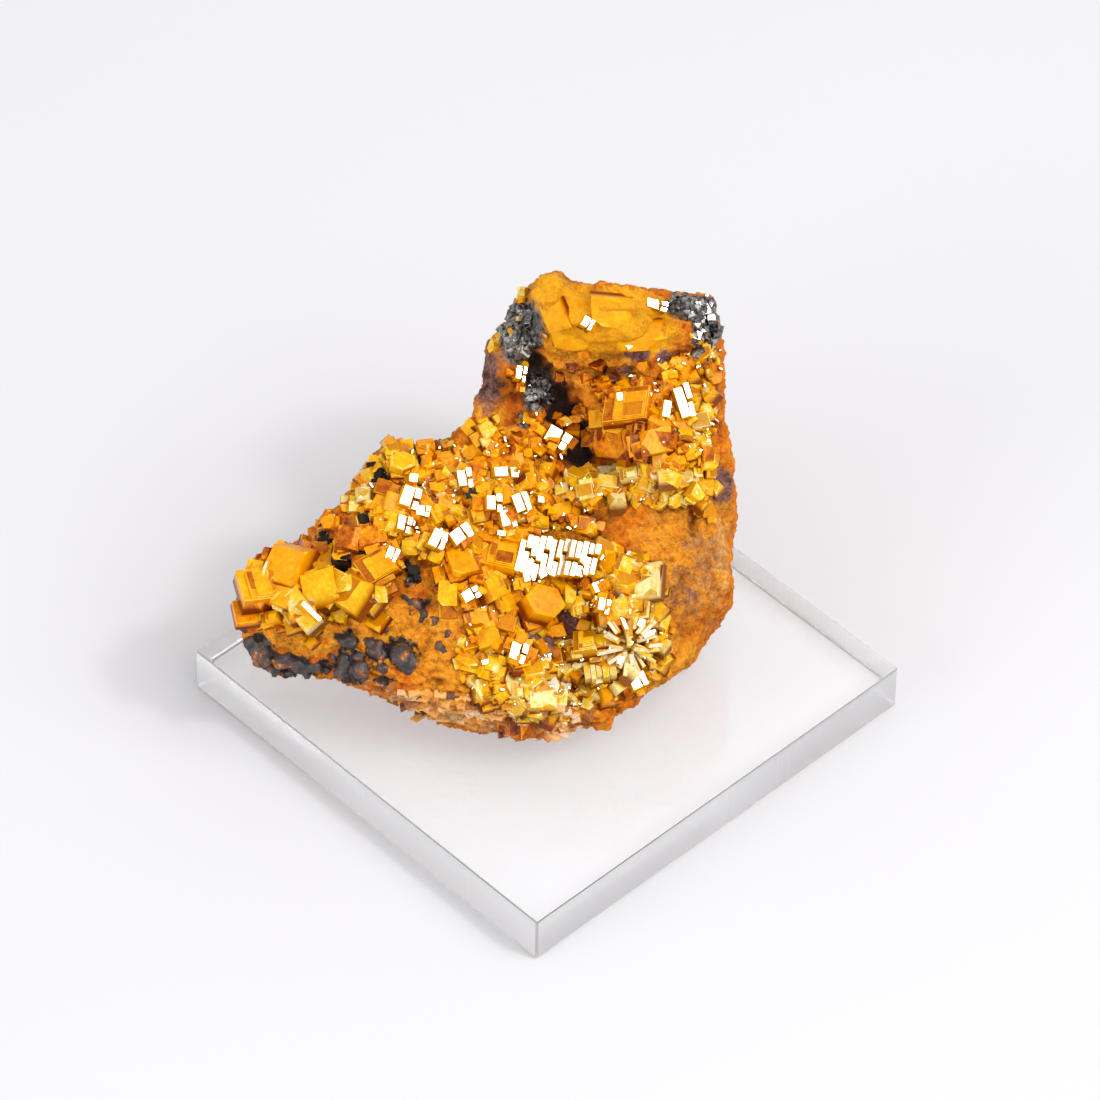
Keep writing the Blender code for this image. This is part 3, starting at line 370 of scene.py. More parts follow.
# The faces of a crystal that catches the light, as shares of its width and height: across, up, width and
# height. One narrower than the limit, in mm, is a single face.
GLINT_FACES = ((-0.20, 0.02, 0.56, 0.94), (0.28, 0.24, 0.34, 0.50), (0.26, -0.27, 0.29, 0.44))
SINGLE_FACE = ((0, 0, 0.9, 0.9),)
SINGLE_FACE_LIMIT = 2.4

# The striated plate, in mm and degrees: its blades stand side by side, each a step from the last.
PLATE_BLADES = 13
PLATE_START = (-6.4, 22.6)
PLATE_STEP = (1.38, -0.10)
PLATE_LENGTH = 9.8
PLATE_RISE = 2.3
PLATE_LEAN = 0.28
PLATE_TURN = -16

# The rosette: how many blades point outwards, and its middle and reach in mm.
ROSETTE_BLADES = 44
ROSETTE_MIDDLE = (18, 3.2)
ROSETTE_REACH = (1.6, 5.8)

# The share of the druse and of the metal plates that catches the light.
DRUSE_GLINTS = 0.035
METAL_GLINTS = 0.06

# Groups whose crystals lie flush with the rock.
FLUSH_GROUPS = ("mimetite_tower_mass",)
ROUGH_FORMS = ("rough1", "rough2", "rough3", "rough4", "rough5", "rough6")


def view_axes():
    azimuth, elevation, roll = (math.radians(a) for a in (VIEW_AZIMUTH, VIEW_ELEVATION, VIEW_ROLL))
    level = Vector((math.cos(azimuth), math.sin(azimuth), 0))
    out = Vector((level.y, -level.x, 0))
    back = out * math.cos(elevation) + Vector((0, 0, math.sin(elevation)))
    steep = back.cross(level)
    across = level * math.cos(roll) + steep * math.sin(roll)
    up = steep * math.cos(roll) - level * math.sin(roll)
    return across, up, back


ACROSS, UP, BACK = view_axes()
EYE = BASE_TOP + (BACK * VIEW_DISTANCE + ACROSS * EYE_OFFSET[0] + UP * EYE_OFFSET[1]) * MM
LEVEL_ACROSS = Vector((ACROSS.x, ACROSS.y, 0)).normalized()
LEVEL_AWAY = Vector((-LEVEL_ACROSS.y, LEVEL_ACROSS.x, 0))


def light_place(name):
    """Where a light stands, and the direction to it from the target."""
    (right, away, up), _, distance = LIGHTS[name]
    direction = (LEVEL_ACROSS * right + LEVEL_AWAY * away + Vector((0, 0, up))).normalized()
    return TARGET + direction * distance, direction


GLINT_PLACE, _ = light_place("glint")


def glint_axis(point):
    """The direction that mirrors the small light into the viewer's eye at this point."""
    return ((GLINT_PLACE - point).normalized() + (EYE - point).normalized()).normalized()


def in_view(across, up):
    return BASE_TOP + (ACROSS * across + UP * up) * MM


def view_position(point):
    """Where a point stands in the viewer's eyes, in mm across and up."""
    ray = point - EYE
    scale = VIEW_DISTANCE * MM / -ray.dot(BACK)
    return ray.dot(ACROSS) * scale / MM + EYE_OFFSET[0], ray.dot(UP) * scale / MM + EYE_OFFSET[1]


def random_vector(source, reach=1):
    return Vector([source.uniform(-reach, reach) for _ in range(3)])


class Surface:
    """Finds a mesh's surface along a line of sight."""

    def __init__(self, obj):
        bm = bmesh.new()
        bm.from_mesh(obj.data)
        self.tree = BVHTree.FromBMesh(bm)
        bm.free()

    def at(self, across, up, spread=1.6):
        """The point that the viewer sees there and the mean normal around it, or None twice."""
        hits = [self.tree.ray_cast(EYE, (in_view(across + a, up + u) - EYE).normalized())
                for a, u in ((0, 0), (spread, 0), (-spread, 0), (0, spread), (0, -spread))]
        point = hits[0][0]
        if point is None:
            return None, None
        return point, sum((hit[1] for hit in hits if hit[1] is not None), Vector()).normalized()


class Studio:
    """What the operators share: the rock's surface, and the corners and faces of each crystal form."""

    surface = None
    forms = None


def scattered(area, count, source, spread=0.5):
    """Random spots in an ellipse on the rock: across and up, and the point and normal there."""
    across, up, wide, high = area
    for _ in range(count):
        angle = source.uniform(0, 2 * math.pi)
        reach = math.sqrt(source.random())
        a, u = across + reach * wide * math.cos(angle), up + reach * high * math.sin(angle)
        point, normal = Studio.surface.at(a, u, spread)
        if point is not None:
            yield a, u, point, normal


def in_clear_area(across, up):
    return any(left < across < right and low < up < high for left, low, right, high in CLEAR_AREAS)


def select_only(obj):
    bpy.ops.object.select_all(action="DESELECT")
    obj.select_set(True)
    bpy.context.view_layer.objects.active = obj


def open_edit():
    bpy.ops.object.mode_set(mode="EDIT")
    bpy.ops.mesh.select_all(action="SELECT")


def close_edit():
    bpy.ops.object.mode_set(mode="OBJECT")


def apply_modifier(obj, kind, **settings):
    select_only(obj)
    step = obj.modifiers.new(kind.lower(), kind)
    for key, value in settings.items():
        setattr(step, key, value)
    bpy.ops.object.modifier_apply(modifier=step.name)


def apply_place(obj):
    select_only(obj)
    bpy.ops.object.transform_apply(location=True, rotation=True, scale=True)


def smooth(obj):
    select_only(obj)
    bpy.ops.object.shade_smooth()


def copy_node(node):
    """A merged copy of a CAD node's mesh."""
    source = frame["nodes"][node]
    obj = bpy.data.objects.new(node, source.data.copy())
    obj.matrix_world = source.matrix_world.copy()
    bpy.context.scene.collection.objects.link(obj)
    apply_place(obj)
    open_edit()
    bpy.ops.mesh.remove_doubles(threshold=0.01 * MM)
    close_edit()
    return obj


def join(objs, name):
    bpy.ops.object.select_all(action="DESELECT")
    for obj in objs:
        obj.select_set(True)
    bpy.context.view_layer.objects.active = objs[0]
    bpy.ops.object.join()
    objs[0].name = name
    return objs[0]


def use_material(obj, material):
    obj.data.materials.clear()
    obj.data.materials.append(material)


def finish_piece(obj, material, slot, *nodes):
    use_material(obj, material)
    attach(obj, "root")
    if nodes:
        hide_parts(*nodes)


def rgba(colour):
    """Four numbers from a colour, or from one number as a grey."""
    return (*colour, 1.0) if hasattr(colour, "__len__") else (colour, colour, colour, 1.0)


class Shader:
    """Lays out the nodes of one material around its surface node."""

    def __init__(self, name):
        self.material = bpy.data.materials.new(name)
        self.material.use_nodes = True
        self.tree = self.material.node_tree
        self.surface = self.tree.nodes["Principled BSDF"]
        self.coords = self.add("ShaderNodeTexCoord").outputs

    def feed(self, socket, value):
        """Gives a socket another node's output, a number or a colour."""
        if isinstance(value, bpy.types.NodeSocket):
            self.tree.links.new(value, socket)
        else:
            socket.default_value = rgba(value) if socket.type == "RGBA" else value

    def add(self, kind, inputs=None, **settings):
        node = self.tree.nodes.new(kind)
        for key, value in settings.items():
            setattr(node, key, value)
        for key, value in (inputs or {}).items():
            if value is not None:
                self.feed(node.inputs[key], value)
        return node

    def set(self, **values):
        for key, value in values.items():
            self.feed(self.surface.inputs[key.replace("_", " ")], value)

    def attribute(self, name):
        return self.add("ShaderNodeAttribute", attribute_name=name).outputs["Fac"]

    def noise(self, scale, detail, roughness, source=None):
        inputs = {"Scale": scale, "Detail": detail, "Roughness": roughness,
                  "Vector": source or self.coords["Object"]}
        return self.add("ShaderNodeTexNoise", inputs).outputs["Fac"]

    def ramp(self, source, *stops):
        node = self.add("ShaderNodeValToRGB", {"Fac": source})
        elements = node.color_ramp.elements
        while len(elements) < len(stops):
            elements.new(0.5)
        for element, (position, colour) in zip(elements, stops):
            element.position = position
            element.color = rgba(colour)
        return node.outputs["Color"]

    def rise(self, source, low, high):
        """Black below the low limit and white above the high one."""
        return self.ramp(source, (low, 0), (high, 1))

    def mix(self, factor, first, second, blend="MIX"):
        inputs = {0: factor, 6: first, 7: second}
        return self.add("ShaderNodeMix", inputs, data_type="RGBA", blend_type=blend).outputs[2]

    def math(self, operation, first, second=None, clamp=False):
        inputs = {0: first, 1: second}
        return self.add("ShaderNodeMath", inputs, operation=operation, use_clamp=clamp).outputs[0]

    def plus(self, first, second, clamp=False):
        return self.math("ADD", first, second, clamp)

    def minus(self, first, second, clamp=False):
        return self.math("SUBTRACT", first, second, clamp)

    def times(self, first, second):
        return self.math("MULTIPLY", first, second)

    def swing(self, source, amount):
        """A source around one half, as more or less than nothing."""
        return self.times(self.minus(source, 0.5), amount)

    def split(self, source):
        return self.add("ShaderNodeSeparateXYZ", {0: source}).outputs

    def bump(self, height, strength, distance, before=None):
        inputs = {"Strength": strength, "Distance": distance, "Height": height, "Normal": before}
        return self.add("ShaderNodeBump", inputs).outputs["Normal"]


def limonite_material(settings):
    """Ochre and rust, painted over with the colour zones, with painted shade in the hollows."""
    shader = Shader("limonite")
    wide = shader.noise(90, 5, 0.6)
    middle = shader.noise(420, 5, 0.65)
    fine = shader.noise(1700, 4, 0.7)
    ochre = shader.ramp(middle, (0.30, (0.66, 0.11, 0.002)), (0.44, (0.94, 0.24, 0.003)),
                        (0.58, (1.0, 0.34, 0.005)), (0.72, (1.0, 0.50, 0.04)))
    rust = shader.mix(shader.rise(wide, 0.42, 0.66), ochre, settings.rust_colour)
    colour = shader.mix(0.6, ochre, rust)
    speckle = shader.plus(shader.times(fine, 0.55), shader.times(shader.noise(750, 4, 0.65), 0.45))
    zones = {}
    for name, (ragged, low, high, dark, light) in ZONE_COLOURS.items():
        amount = shader.plus(shader.attribute(name), shader.swing(middle, ragged))
        zones[name] = shader.rise(amount, low, high)
        colour = shader.mix(zones[name], colour, shader.ramp(speckle, (0.40, dark), (0.60, light)))
    # Painted shade: the skin is darker where it sinks into hollows.
    relief = shader.ramp(shader.attribute("relief"),
                         (0.0, (0.36, 0.26, 0.22)), (0.30, (0.86, 0.82, 0.78)), (0.48, 1))
    colour = shader.mix(1.0, colour, relief, "MULTIPLY")
    pits = shader.ramp(shader.noise(560, 7, 0.78), (0.38, (0.30, 0.14, 0.07)), (0.50, 1))
    pitted = shader.minus(0.65, shader.times(zones["saffron"], 0.5), clamp=True)
    colour = shader.mix(pitted, colour, shader.mix(1.0, colour, pits, "MULTIPLY"))
    glossy = shader.plus(shader.plus(zones["black"], zones["metal"]), zones["saffron"], clamp=True)
    rough = shader.mix(glossy, shader.ramp(fine, (0.3, 0.92), (0.75, 0.62)), 0.34)
    shader.set(Base_Color=colour, Roughness=rough, Metallic=shader.times(zones["metal"], 0.8), IOR=1.5,
               Specular_IOR_Level=0.25,
               Normal=shader.bump(middle, 0.8, 1.6 * MM, shader.bump(fine, 0.9, 0.8 * MM)))
    return shader.material


def crystal_material(name, settings, cloudiness=0.85):
    """Glassy amber, with painted shade at each crystal's root, a painted shade or edge highlight on every
    face, and painted white highlights on mirror-bright tops.
    """
    shader = Shader(name)
    facet = shader.attribute("facet")
    glint_top = shader.math("GREATER_THAN", facet, 1.6)
    plain = shader.minus(1.0, glint_top)
    cloud = shader.noise(900, 6, 0.72)
    level = shader.plus(shader.attribute("tone"), shader.swing(shader.noise(260, 3, 0.5), 0.5))
    level = shader.plus(level, shader.swing(cloud, cloudiness))
    # Painted light: the facet lifts bevels as an edge highlight and gives other faces a random lighter or
    # darker shade.
    level = shader.plus(level, shader.swing(facet, 0.22))
    colour = shader.ramp(
        level, (0.01, (0.018, 0.011, 0.006)), (0.12, (0.22, 0.036, 0.001)), (0.27, (0.74, 0.18, 0.001)),
        (0.42, settings.crystal_colour), (0.58, (0.98, 0.44, 0.001)), (0.76, (0.99, 0.62, 0.010)),
        (0.92, (0.99, 0.86, 0.42)))
    # Painted shade: each crystal darkens towards its root, where it sits between its neighbours.
    depth = shader.ramp(shader.attribute("height"),
                        (0.36, (0.26, 0.10, 0.03)), (0.62, (0.82, 0.70, 0.52)), (0.90, 1))
    colour = shader.mix(1.0, colour, depth, "MULTIPLY")
    # Painted shade: some faces darker at random, standing for the light each glassy face catches.
    shade = shader.ramp(facet, (0.0, (0.56, 0.42, 0.28)), (0.5, 1))
    colour = shader.mix(plain, colour, shader.mix(1.0, colour, shade, "MULTIPLY"))
    # Painted highlight: mirror-bright tops are mixed towards near white.
    colour = shader.mix(shader.times(glint_top, 0.6), colour, (0.97, 0.93, 0.82))
    lines = shader.add("ShaderNodeTexWave", {
        "Scale": 0.9, "Distortion": 2.5, "Detail": 3, "Detail Scale": 0.6, "Vector": shader.coords["UV"]},
        wave_type="BANDS", bands_direction="X").outputs["Fac"]
    uneven = shader.bump(shader.times(cloud, plain), 0.25, 0.4 * MM)
    rough = shader.ramp(cloud, (0.35, 0.05), (0.7, 0.22))
    shader.set(Base_Color=colour, Roughness=shader.mix(glint_top, rough, 0.03), IOR=settings.crystal_ior,
               Specular_IOR_Level=shader.plus(0.09, shader.times(glint_top, 0.5)),
               Transmission_Weight=settings.crystal_clearness,
               Normal=shader.bump(shader.times(lines, plain), 0.2, 0.2 * MM, uneven))
    return shader.material


def flake_material():
    shader = Shader("flakes")
    fine = shader.noise(1400, 4, 0.7)
    level = shader.plus(shader.attribute("tone"), shader.swing(fine, 0.5))
    colour = shader.ramp(
        level, (0.05, (0.12, 0.04, 0.012)), (0.28, (0.56, 0.18, 0.015)), (0.50, (0.82, 0.38, 0.07)),
        (0.74, (0.80, 0.48, 0.24)), (0.97, (0.96, 0.80, 0.58)))
    shader.set(Base_Color=colour, Roughness=0.5, Subsurface_Weight=0.15, Subsurface_Scale=1 * MM,
               Normal=shader.bump(fine, 0.4, 0.4 * MM))
    return shader.material


def goethite_material(settings):
    shader = Shader("goethite")
    fine = shader.noise(2200, 4, 0.7)
    colour = shader.ramp(
        shader.noise(350, 5, 0.6), (0.32, settings.knob_colour), (0.52, (0.050, 0.036, 0.034)),
        (0.60, (0.22, 0.065, 0.012)), (0.68, (0.80, 0.26, 0.012)))
    shader.set(Base_Color=colour, Roughness=shader.ramp(fine, (0.3, 0.22), (0.7, 0.55)), IOR=1.5,
               Normal=shader.bump(fine, 0.35, 0.4 * MM))
    return shader.material


def galena_material():
    shader = Shader("galena")
    patch = shader.noise(800, 3, 0.6)
    colour = shader.ramp(
        patch, (0.35, (0.05, 0.046, 0.042)), (0.6, (0.30, 0.285, 0.27)), (0.75, (0.55, 0.48, 0.38)))
    shader.set(Base_Color=colour, Roughness=shader.ramp(patch, (0.3, 0.16), (0.7, 0.42)), Metallic=1.0)
    return shader.material


def acrylic_material(settings):
    """Clear, with upright saw marks and a little frost on the sides."""
    shader = Shader("clear_acrylic")
    place = shader.split(shader.coords["Object"])
    along = shader.add("ShaderNodeCombineXYZ", {"X": shader.plus(place["X"], place["Y"])}).outputs[0]
    marks = shader.noise(3600, 3, 0.6, along)
    facing = shader.split(shader.coords["Normal"])
    side = shader.minus(1.0, shader.math("ABSOLUTE", facing["Z"]), clamp=True)
    frost = shader.times(side, shader.plus(0.12, shader.times(marks, 0.22)))
    shader.set(Base_Color=settings.acrylic_colour, Roughness=shader.times(side, 0.12), IOR=1.49,
               Transmission_Weight=shader.minus(1.0, frost, clamp=True),
               Normal=shader.bump(shader.times(marks, side), 0.25, 0.3 * MM))
    return shader.material


def floor_material():
    """White paper that glows a little where the clear square would darken it."""
    shader = Shader("white_floor")
    paper = shader.ramp(shader.noise(3, 2, 0.5), (0.3, (0.665, 0.66, 0.67)), (0.7, (0.68, 0.675, 0.682)))
    place = shader.split(shader.coords["Object"])
    reach = shader.math("MAXIMUM", *(shader.math("ABSOLUTE", place[axis]) for axis in "XY"))
    under = shader.math("LESS_THAN", reach, BASE_BOX[1][0] - 0.5 * MM)
    shader.set(Base_Color=paper, Roughness=0.75, IOR=1.3, Emission_Color=(1.0, 0.985, 0.99),
               Emission_Strength=shader.times(under, 0.42))
    return shader.material


def patch_strength(across, up, blobs):
    """How strongly the patches cover a spot, from 0 to 1."""
    best = 0.0
    for x, y, wide, high, strength in blobs:
        reach = ((across - x) / wide) ** 2 + ((up - y) / high) ** 2
        best = max(best, strength * (1.0 - 0.5 * reach))
    return min(1.0, best)


def rock_offset(co, across, up, zones):
    """How far the rock's skin moves along its normal, in metres."""
    p = co * PER_METRE
    wave = noise.fractal(p / WAVE_SIZE, 0.85, 2.1, 4)
    crag = noise.voronoi(p / CRAG_SIZE + Vector((0.3, 0.3, 0.3)) * wave)[0]
    chip = noise.voronoi(p / CHIP_SIZE)[0]
    edges = (crag[1] - crag[0]) * CRAG_LIFT + (chip[1] - chip[0]) * CHIP_LIFT
    grain = noise.fractal(p / GRAIN_SIZE, 0.8, 2.0, 3)
    calm = 0.8 if across > 20 and up < 36 else 1.0
    calm *= 1.0 - 0.6 * zones["saffron"]
    offset = (WAVE_LIFT * wave + edges - SKIN_DROP + GRAIN_LIFT * grain) * calm
    layered = up < -6 or (up < 0 and across < -20)
    if layered:
        level = (p.z + 1.6 * noise.noise(p / WAVE_SIZE)) / LEDGE_SIZE
        offset += LEDGE_LIFT * (abs((level % 1.0) - 0.5) * 2 - 0.5)
    offset -= DARK_DEPTH * zones["dark"]
    offset += SWELL_HEIGHT * patch_strength(across, up, SWELLS)
    offset += EARTH_LIFT * zones["earth"] * noise.fractal(p / EARTH_SIZE, 0.7, 2.0, 2)
    return offset * MM


def roughen(rock):
    """Gives the rock its crags, and keeps its colour zones and the painted shade of its hollows as
    attributes.
    """
    verts = rock.data.vertices
    masks = {name: np.zeros(len(verts), dtype=np.float32) for name in [*PATCHES, "relief"]}
    normals = [vert.normal.copy() for vert in verts]
    for i, (vert, normal) in enumerate(zip(verts, normals)):
        across, up = view_position(vert.co)
        seen = min(1.0, max(0.0, normal.dot(BACK) * 3 + 0.6))
        zones = {name: patch_strength(across, up, blobs) * seen for name, blobs in PATCHES.items()}
        offset = rock_offset(vert.co, across, up, zones)
        for name, value in zones.items():
            masks[name][i] = value
        # Lower skin gets a lower value, which the material turns into painted shade in the hollows.
        masks["relief"][i] = 0.5 + offset / MM * 0.35
        moved = vert.co + normal * (offset - SKIN_ROOM * MM)
        moved.z = max(moved.z, LOWEST)
        vert.co = moved
    for name, values in masks.items():
        rock.data.attributes.new(name, "FLOAT", "POINT").data.foreach_set("value", values)
    rock.data.update()


class MimetiteSettings(bpy.types.PropertyGroup):
    """Sizes, colours and lights of the specimen"""

    rock_detail: bpy.props.FloatProperty(
        name="Rock Detail", description="Size of the smallest lumps of the limonite", default=0.0006,
        min=0.0005, max=0.002, subtype="DISTANCE", unit="LENGTH")
    crystal_ior: bpy.props.FloatProperty(
        name="Crystal IOR", description="Refraction of the crystals", default=1.55, min=1.3, max=2.4)
    crystal_clearness: bpy.props.FloatProperty(
        name="Crystal Clearness", description="How much light passes through the crystals", default=0.20,
        min=0.0, max=1.0, subtype="FACTOR")
    druse_amount: bpy.props.FloatProperty(
        name="Druse Amount", description="How densely small crystals cover the rock", default=1.1,
        min=0.0, max=2.0, subtype="FACTOR")
    crystal_colour: bpy.props.FloatVectorProperty(
        name="Crystal Colour", description="Main colour of the crystals", default=(0.96, 0.34, 0.001),
        size=3, min=0.0, max=1.0, subtype="COLOR")
    rust_colour: bpy.props.FloatVectorProperty(
        name="Rust Colour", description="Darker colour of the limonite", default=(0.70, 0.15, 0.002),
        size=3, min=0.0, max=1.0, subtype="COLOR")
    knob_colour: bpy.props.FloatVectorProperty(
        name="Knob Colour", description="Colour of the dark knobs", default=(0.020, 0.017, 0.017),
        size=3, min=0.0, max=1.0, subtype="COLOR")
    acrylic_colour: bpy.props.FloatVectorProperty(
        name="Acrylic Colour", description="Tint of the clear acrylic", default=(0.985, 0.985, 0.99),
        size=3, min=0.0, max=1.0, subtype="COLOR")
    key_strength: bpy.props.FloatProperty(
        name="Key Light", description="Power of the large soft light", default=41.0, min=0.0,
        subtype="POWER")
    glint_strength: bpy.props.FloatProperty(
        name="Glint Light", description="Power of the small light that the crystals mirror", default=1.8,
        min=0.0, subtype="POWER")
    fill_strength: bpy.props.FloatProperty(
        name="Fill Light", description="Power of the light at the left", default=15.0, min=0.0,
        subtype="POWER")
    world_strength: bpy.props.FloatProperty(
        name="Surroundings", description="Brightness of the white surroundings", default=0.78, min=0.0)


def box(size=(1, 1, 1), place=(0, 0, 0)):
    bpy.ops.mesh.primitive_cube_add(size=1)
    open_edit()
    bpy.ops.transform.resize(value=tuple(size))
    bpy.ops.transform.translate(value=tuple(place))
    close_edit()
    return bpy.context.object


def bevelled_box(width, size, place):
    obj = box(size, place)
    apply_modifier(obj, "BEVEL", width=width, segments=1)
    return obj


def edit_top(obj):
    """Opens edit mode with the highest face selected."""
    open_edit()
    bpy.ops.mesh.select_mode(type="FACE")
    bpy.ops.mesh.select_all(action="DESELECT")
    bm = bmesh.from_edit_mesh(obj.data)
    max(bm.faces, key=lambda face: face.calc_center_median().z).select = True
    bm.select_flush_mode()
    bmesh.update_edit_mesh(obj.data)


def cut_box(planes):
    """A cube without what lies outside each plane, given as a point and a normal."""
    obj = box()
    open_edit()
    for place, normal in planes:
        bpy.ops.mesh.select_all(action="SELECT")
        bpy.ops.mesh.bisect(plane_co=place, plane_no=normal, use_fill=True, clear_outer=True)
    close_edit()
    return obj


def rough_plane(source):
    """A random plane that takes a corner or an edge off a cube's upper half."""
    normal = random_vector(source)
    normal.z = abs(normal.z) + 0.1
    normal.normalize()
    reach = 0.5 * sum(abs(n) for n in normal) * source.uniform(0.72, 0.86)
    return normal * reach, normal


def block_form():
    block = box()
    edit_top(block)
    bpy.ops.transform.resize(value=(0.94, 0.94, 1))
    close_edit()
    apply_modifier(block, "BEVEL", width=0.035, segments=1)
    return block


def step_form():
    """A block with lower steps around its highest face."""
    steps = (((1, 1, 1), (0, 0, 0)), ((0.74, 0.82, 1.12), (0.11, -0.07, 0.06)),
             ((0.50, 0.46, 1.22), (0.20, -0.22, 0.11)), ((0.22, 0.62, 1.17), (-0.12, 0.06, 0.085)))
    return join([bevelled_box(0.02, size, place) for size, place in steps], "step")


def cut_form():
    cut = cut_box((
        ((0.40, 0.40, 0.42), (0.7, 0.6, 0.9)), ((-0.44, 0.1, 0.44), (-0.8, 0.1, 0.9)),
        ((0.1, -0.46, 0.40), (0.1, -1.0, 0.4)), ((0, 0, 0.49), (0.06, -0.05, 1))))
    apply_modifier(cut, "BEVEL", width=0.015, segments=1)
    return cut


def hex_form():
    bpy.ops.mesh.primitive_cylinder_add(vertices=6, radius=0.56, depth=1)
    hexagon = bpy.context.object
    edit_top(hexagon)
    bpy.ops.mesh.inset(thickness=0.07, depth=0.0)
    bpy.ops.transform.translate(value=(0, 0, 0.07))
    close_edit()
    apply_modifier(hexagon, "BEVEL", width=0.02, segments=1)
    return hexagon


def plate_form():
    """Five narrow blades side by side: across, up, width, height and lift."""
    blades = ((-0.40, 0.02, 0.18, 0.90, 0.0), (-0.22, -0.03, 0.15, 1.0, 0.05),
              (-0.04, 0.04, 0.17, 0.86, -0.03), (0.16, -0.02, 0.19, 0.96, 0.04),
              (0.38, 0.03, 0.21, 0.88, 0.0))
    return join([bevelled_box(0.015, (wide, tall, 1 + lift), (x, y, lift / 2))
                 for x, y, wide, tall, lift in blades], "plate")


def make_forms():
    """One of each crystal form, one unit wide, high and tall, with its root at -0.5."""
    source = random.Random(2)
    forms = {"block": block_form(), "step": step_form(), "cut": cut_form(), "hex": hex_form(),
             "plate": plate_form()}
    for name in ROUGH_FORMS:
        forms[name] = cut_box([rough_plane(source) for _ in range(6)])
    forms["chip"] = cut_box((((0.36, 0.3, 0.4), (0.7, 0.4, 0.8)), ((-0.4, 0.3, 0.35), (-0.8, 0.5, 0.5))))
    return {name: form_mesh(obj) for name, obj in forms.items()}


def form_mesh(obj):
    """A form's corners and faces. The object goes."""
    bm = bmesh.new()
    bm.from_mesh(obj.data)
    bmesh.ops.recalc_face_normals(bm, faces=bm.faces)
    bm.verts.ensure_lookup_table()
    corners = np.array([vert.co[:] for vert in bm.verts])
    faces = [[vert.index for vert in face.verts] for face in bm.faces]
    bm.free()
    bpy.data.objects.remove(obj, do_unlink=True)
    return corners, faces


def face_kind(shape, polygon):
    """Whether a form's face is its level top, and whether it is as small as a bevel."""
    corners = shape[polygon]
    normal = sum(np.cross(corners[i - 1], corners[i]) for i in range(len(corners)))
    length = np.linalg.norm(normal)
    return normal[2] > 0.97 * length, 0.5 * length < 0.05


def frame_on(point, axis, turn):
    side = UP.cross(axis).normalized()
    basis = Matrix((side, axis.cross(side), axis)).transposed().to_4x4()
    return Matrix.Translation(point) @ basis @ Matrix.Rotation(math.radians(turn), 4, "Z")


def build_copies(name, rows, spread=1.0):
    """Joins placed and slightly skewed copies of the forms: each row is form, matrix, size and tone.

    The material reads each corner's tone, and its height for the painted shade at the root, and each face's
    facet:
    2 for a mirror-bright top with a painted white highlight, 1.2 for a face as small as a bevel, which gets
    a painted edge highlight, and else a random painted shade around 0.5.
    """
    verts, faces, tones, uvs, heights, facets = [], [], [], [], [], []
    start = 0
    source = random.Random(len(rows))
    kinds = {form: [face_kind(shape, polygon) for polygon in polygons]
             for form, (shape, polygons) in Studio.forms.items()}
    for form, matrix, size, tone in rows:
        shape, polygons = Studio.forms[form]
        skewed = shape.copy()
        skewed[:, :2] *= 1 + source.uniform(-0.14, 0.02) * (shape[:, 2:] + 0.5)
        skewed[:, 0] += source.uniform(-0.12, 0.12) * shape[:, 1]
        local = skewed * np.array(size)
        verts.append(local @ np.array(matrix.to_3x3()).T + np.array(matrix.translation))
        uvs.append(local[:, :2] / MM)
        glint = tone > GLINT_TONE
        tones.append(np.full(len(shape), 0.52 if glint else tone))
        heights.append(shape[:, 2] + 0.5)
        # Painted light: glint tops turn white, bevels lighter, other faces a random shade.
        for top, small in kinds[form]:
            shade = 0.5 + (source.random() - 0.5) * spread
            facets.append(2.0 if glint and top else 1.2 if small else shade)
        faces.extend([[i + start for i in polygon] for polygon in polygons])
        start += len(shape)
    mesh = bpy.data.meshes.new(name)
    mesh.from_pydata(np.concatenate(verts).tolist(), [], faces)
    for label, domain, values in (("tone", "POINT", np.concatenate(tones)),
                                  ("height", "POINT", np.concatenate(heights)),
                                  ("facet", "FACE", np.array(facets))):
        layer = mesh.attributes.new(label, "FLOAT", domain)
        layer.data.foreach_set("value", values.astype(np.float32))
    corners = np.zeros(len(mesh.loops), dtype=np.int32)
    mesh.loops.foreach_get("vertex_index", corners)
    flat_uv = np.concatenate(uvs)[corners].astype(np.float32)
    mesh.uv_layers.new(name="UVMap").data.foreach_set("uv", flat_uv.ravel())
    mesh.update()
    obj = bpy.data.objects.new(name, mesh)
    bpy.context.scene.collection.objects.link(obj)
    return obj


def crystal_axis(point, normal, source, lean, glint):
    """The way a crystal grows: out of the rock and upwards, or so that its top mirrors the small light."""
    wander = random_vector(source)
    mirror = glint_axis(point)
    if glint:
        return (mirror + wander * 0.02).normalized()
    axis = (normal * 0.6 + BACK * 0.12 + Vector((0, 0, 0.4)) + wander * lean).normalized()
    if axis.angle(mirror) < GLINT_ANGLE:
        axis = (axis + ACROSS * source.choice((-0.3, 0.3)) + wander * 0.2).normalized()
    return axis


def glint_cluster(point, axis, size, turn, source):
    """A large flat face with two smaller ones close beside it, their tops painted white as highlights."""
    width, height, rise = size
    frame = frame_on(point, axis, turn)
    rows = []
    for x, y, wide, high in SINGLE_FACE if width < SINGLE_FACE_LIMIT else GLINT_FACES:
        lift = source.uniform(-0.3, 0.1) if x else 0.0
        tall = rise + ROOT + lift
        y += source.uniform(-0.06, 0.06)
        centre = frame @ Vector((x * width * MM, y * height * MM, (rise + lift - tall / 2) * MM))
        rows.append(("block", frame_on(centre, axis, turn + source.uniform(-2, 2)),
                     (wide * width * MM, high * height * MM, tall * MM), 1.0))
    return rows


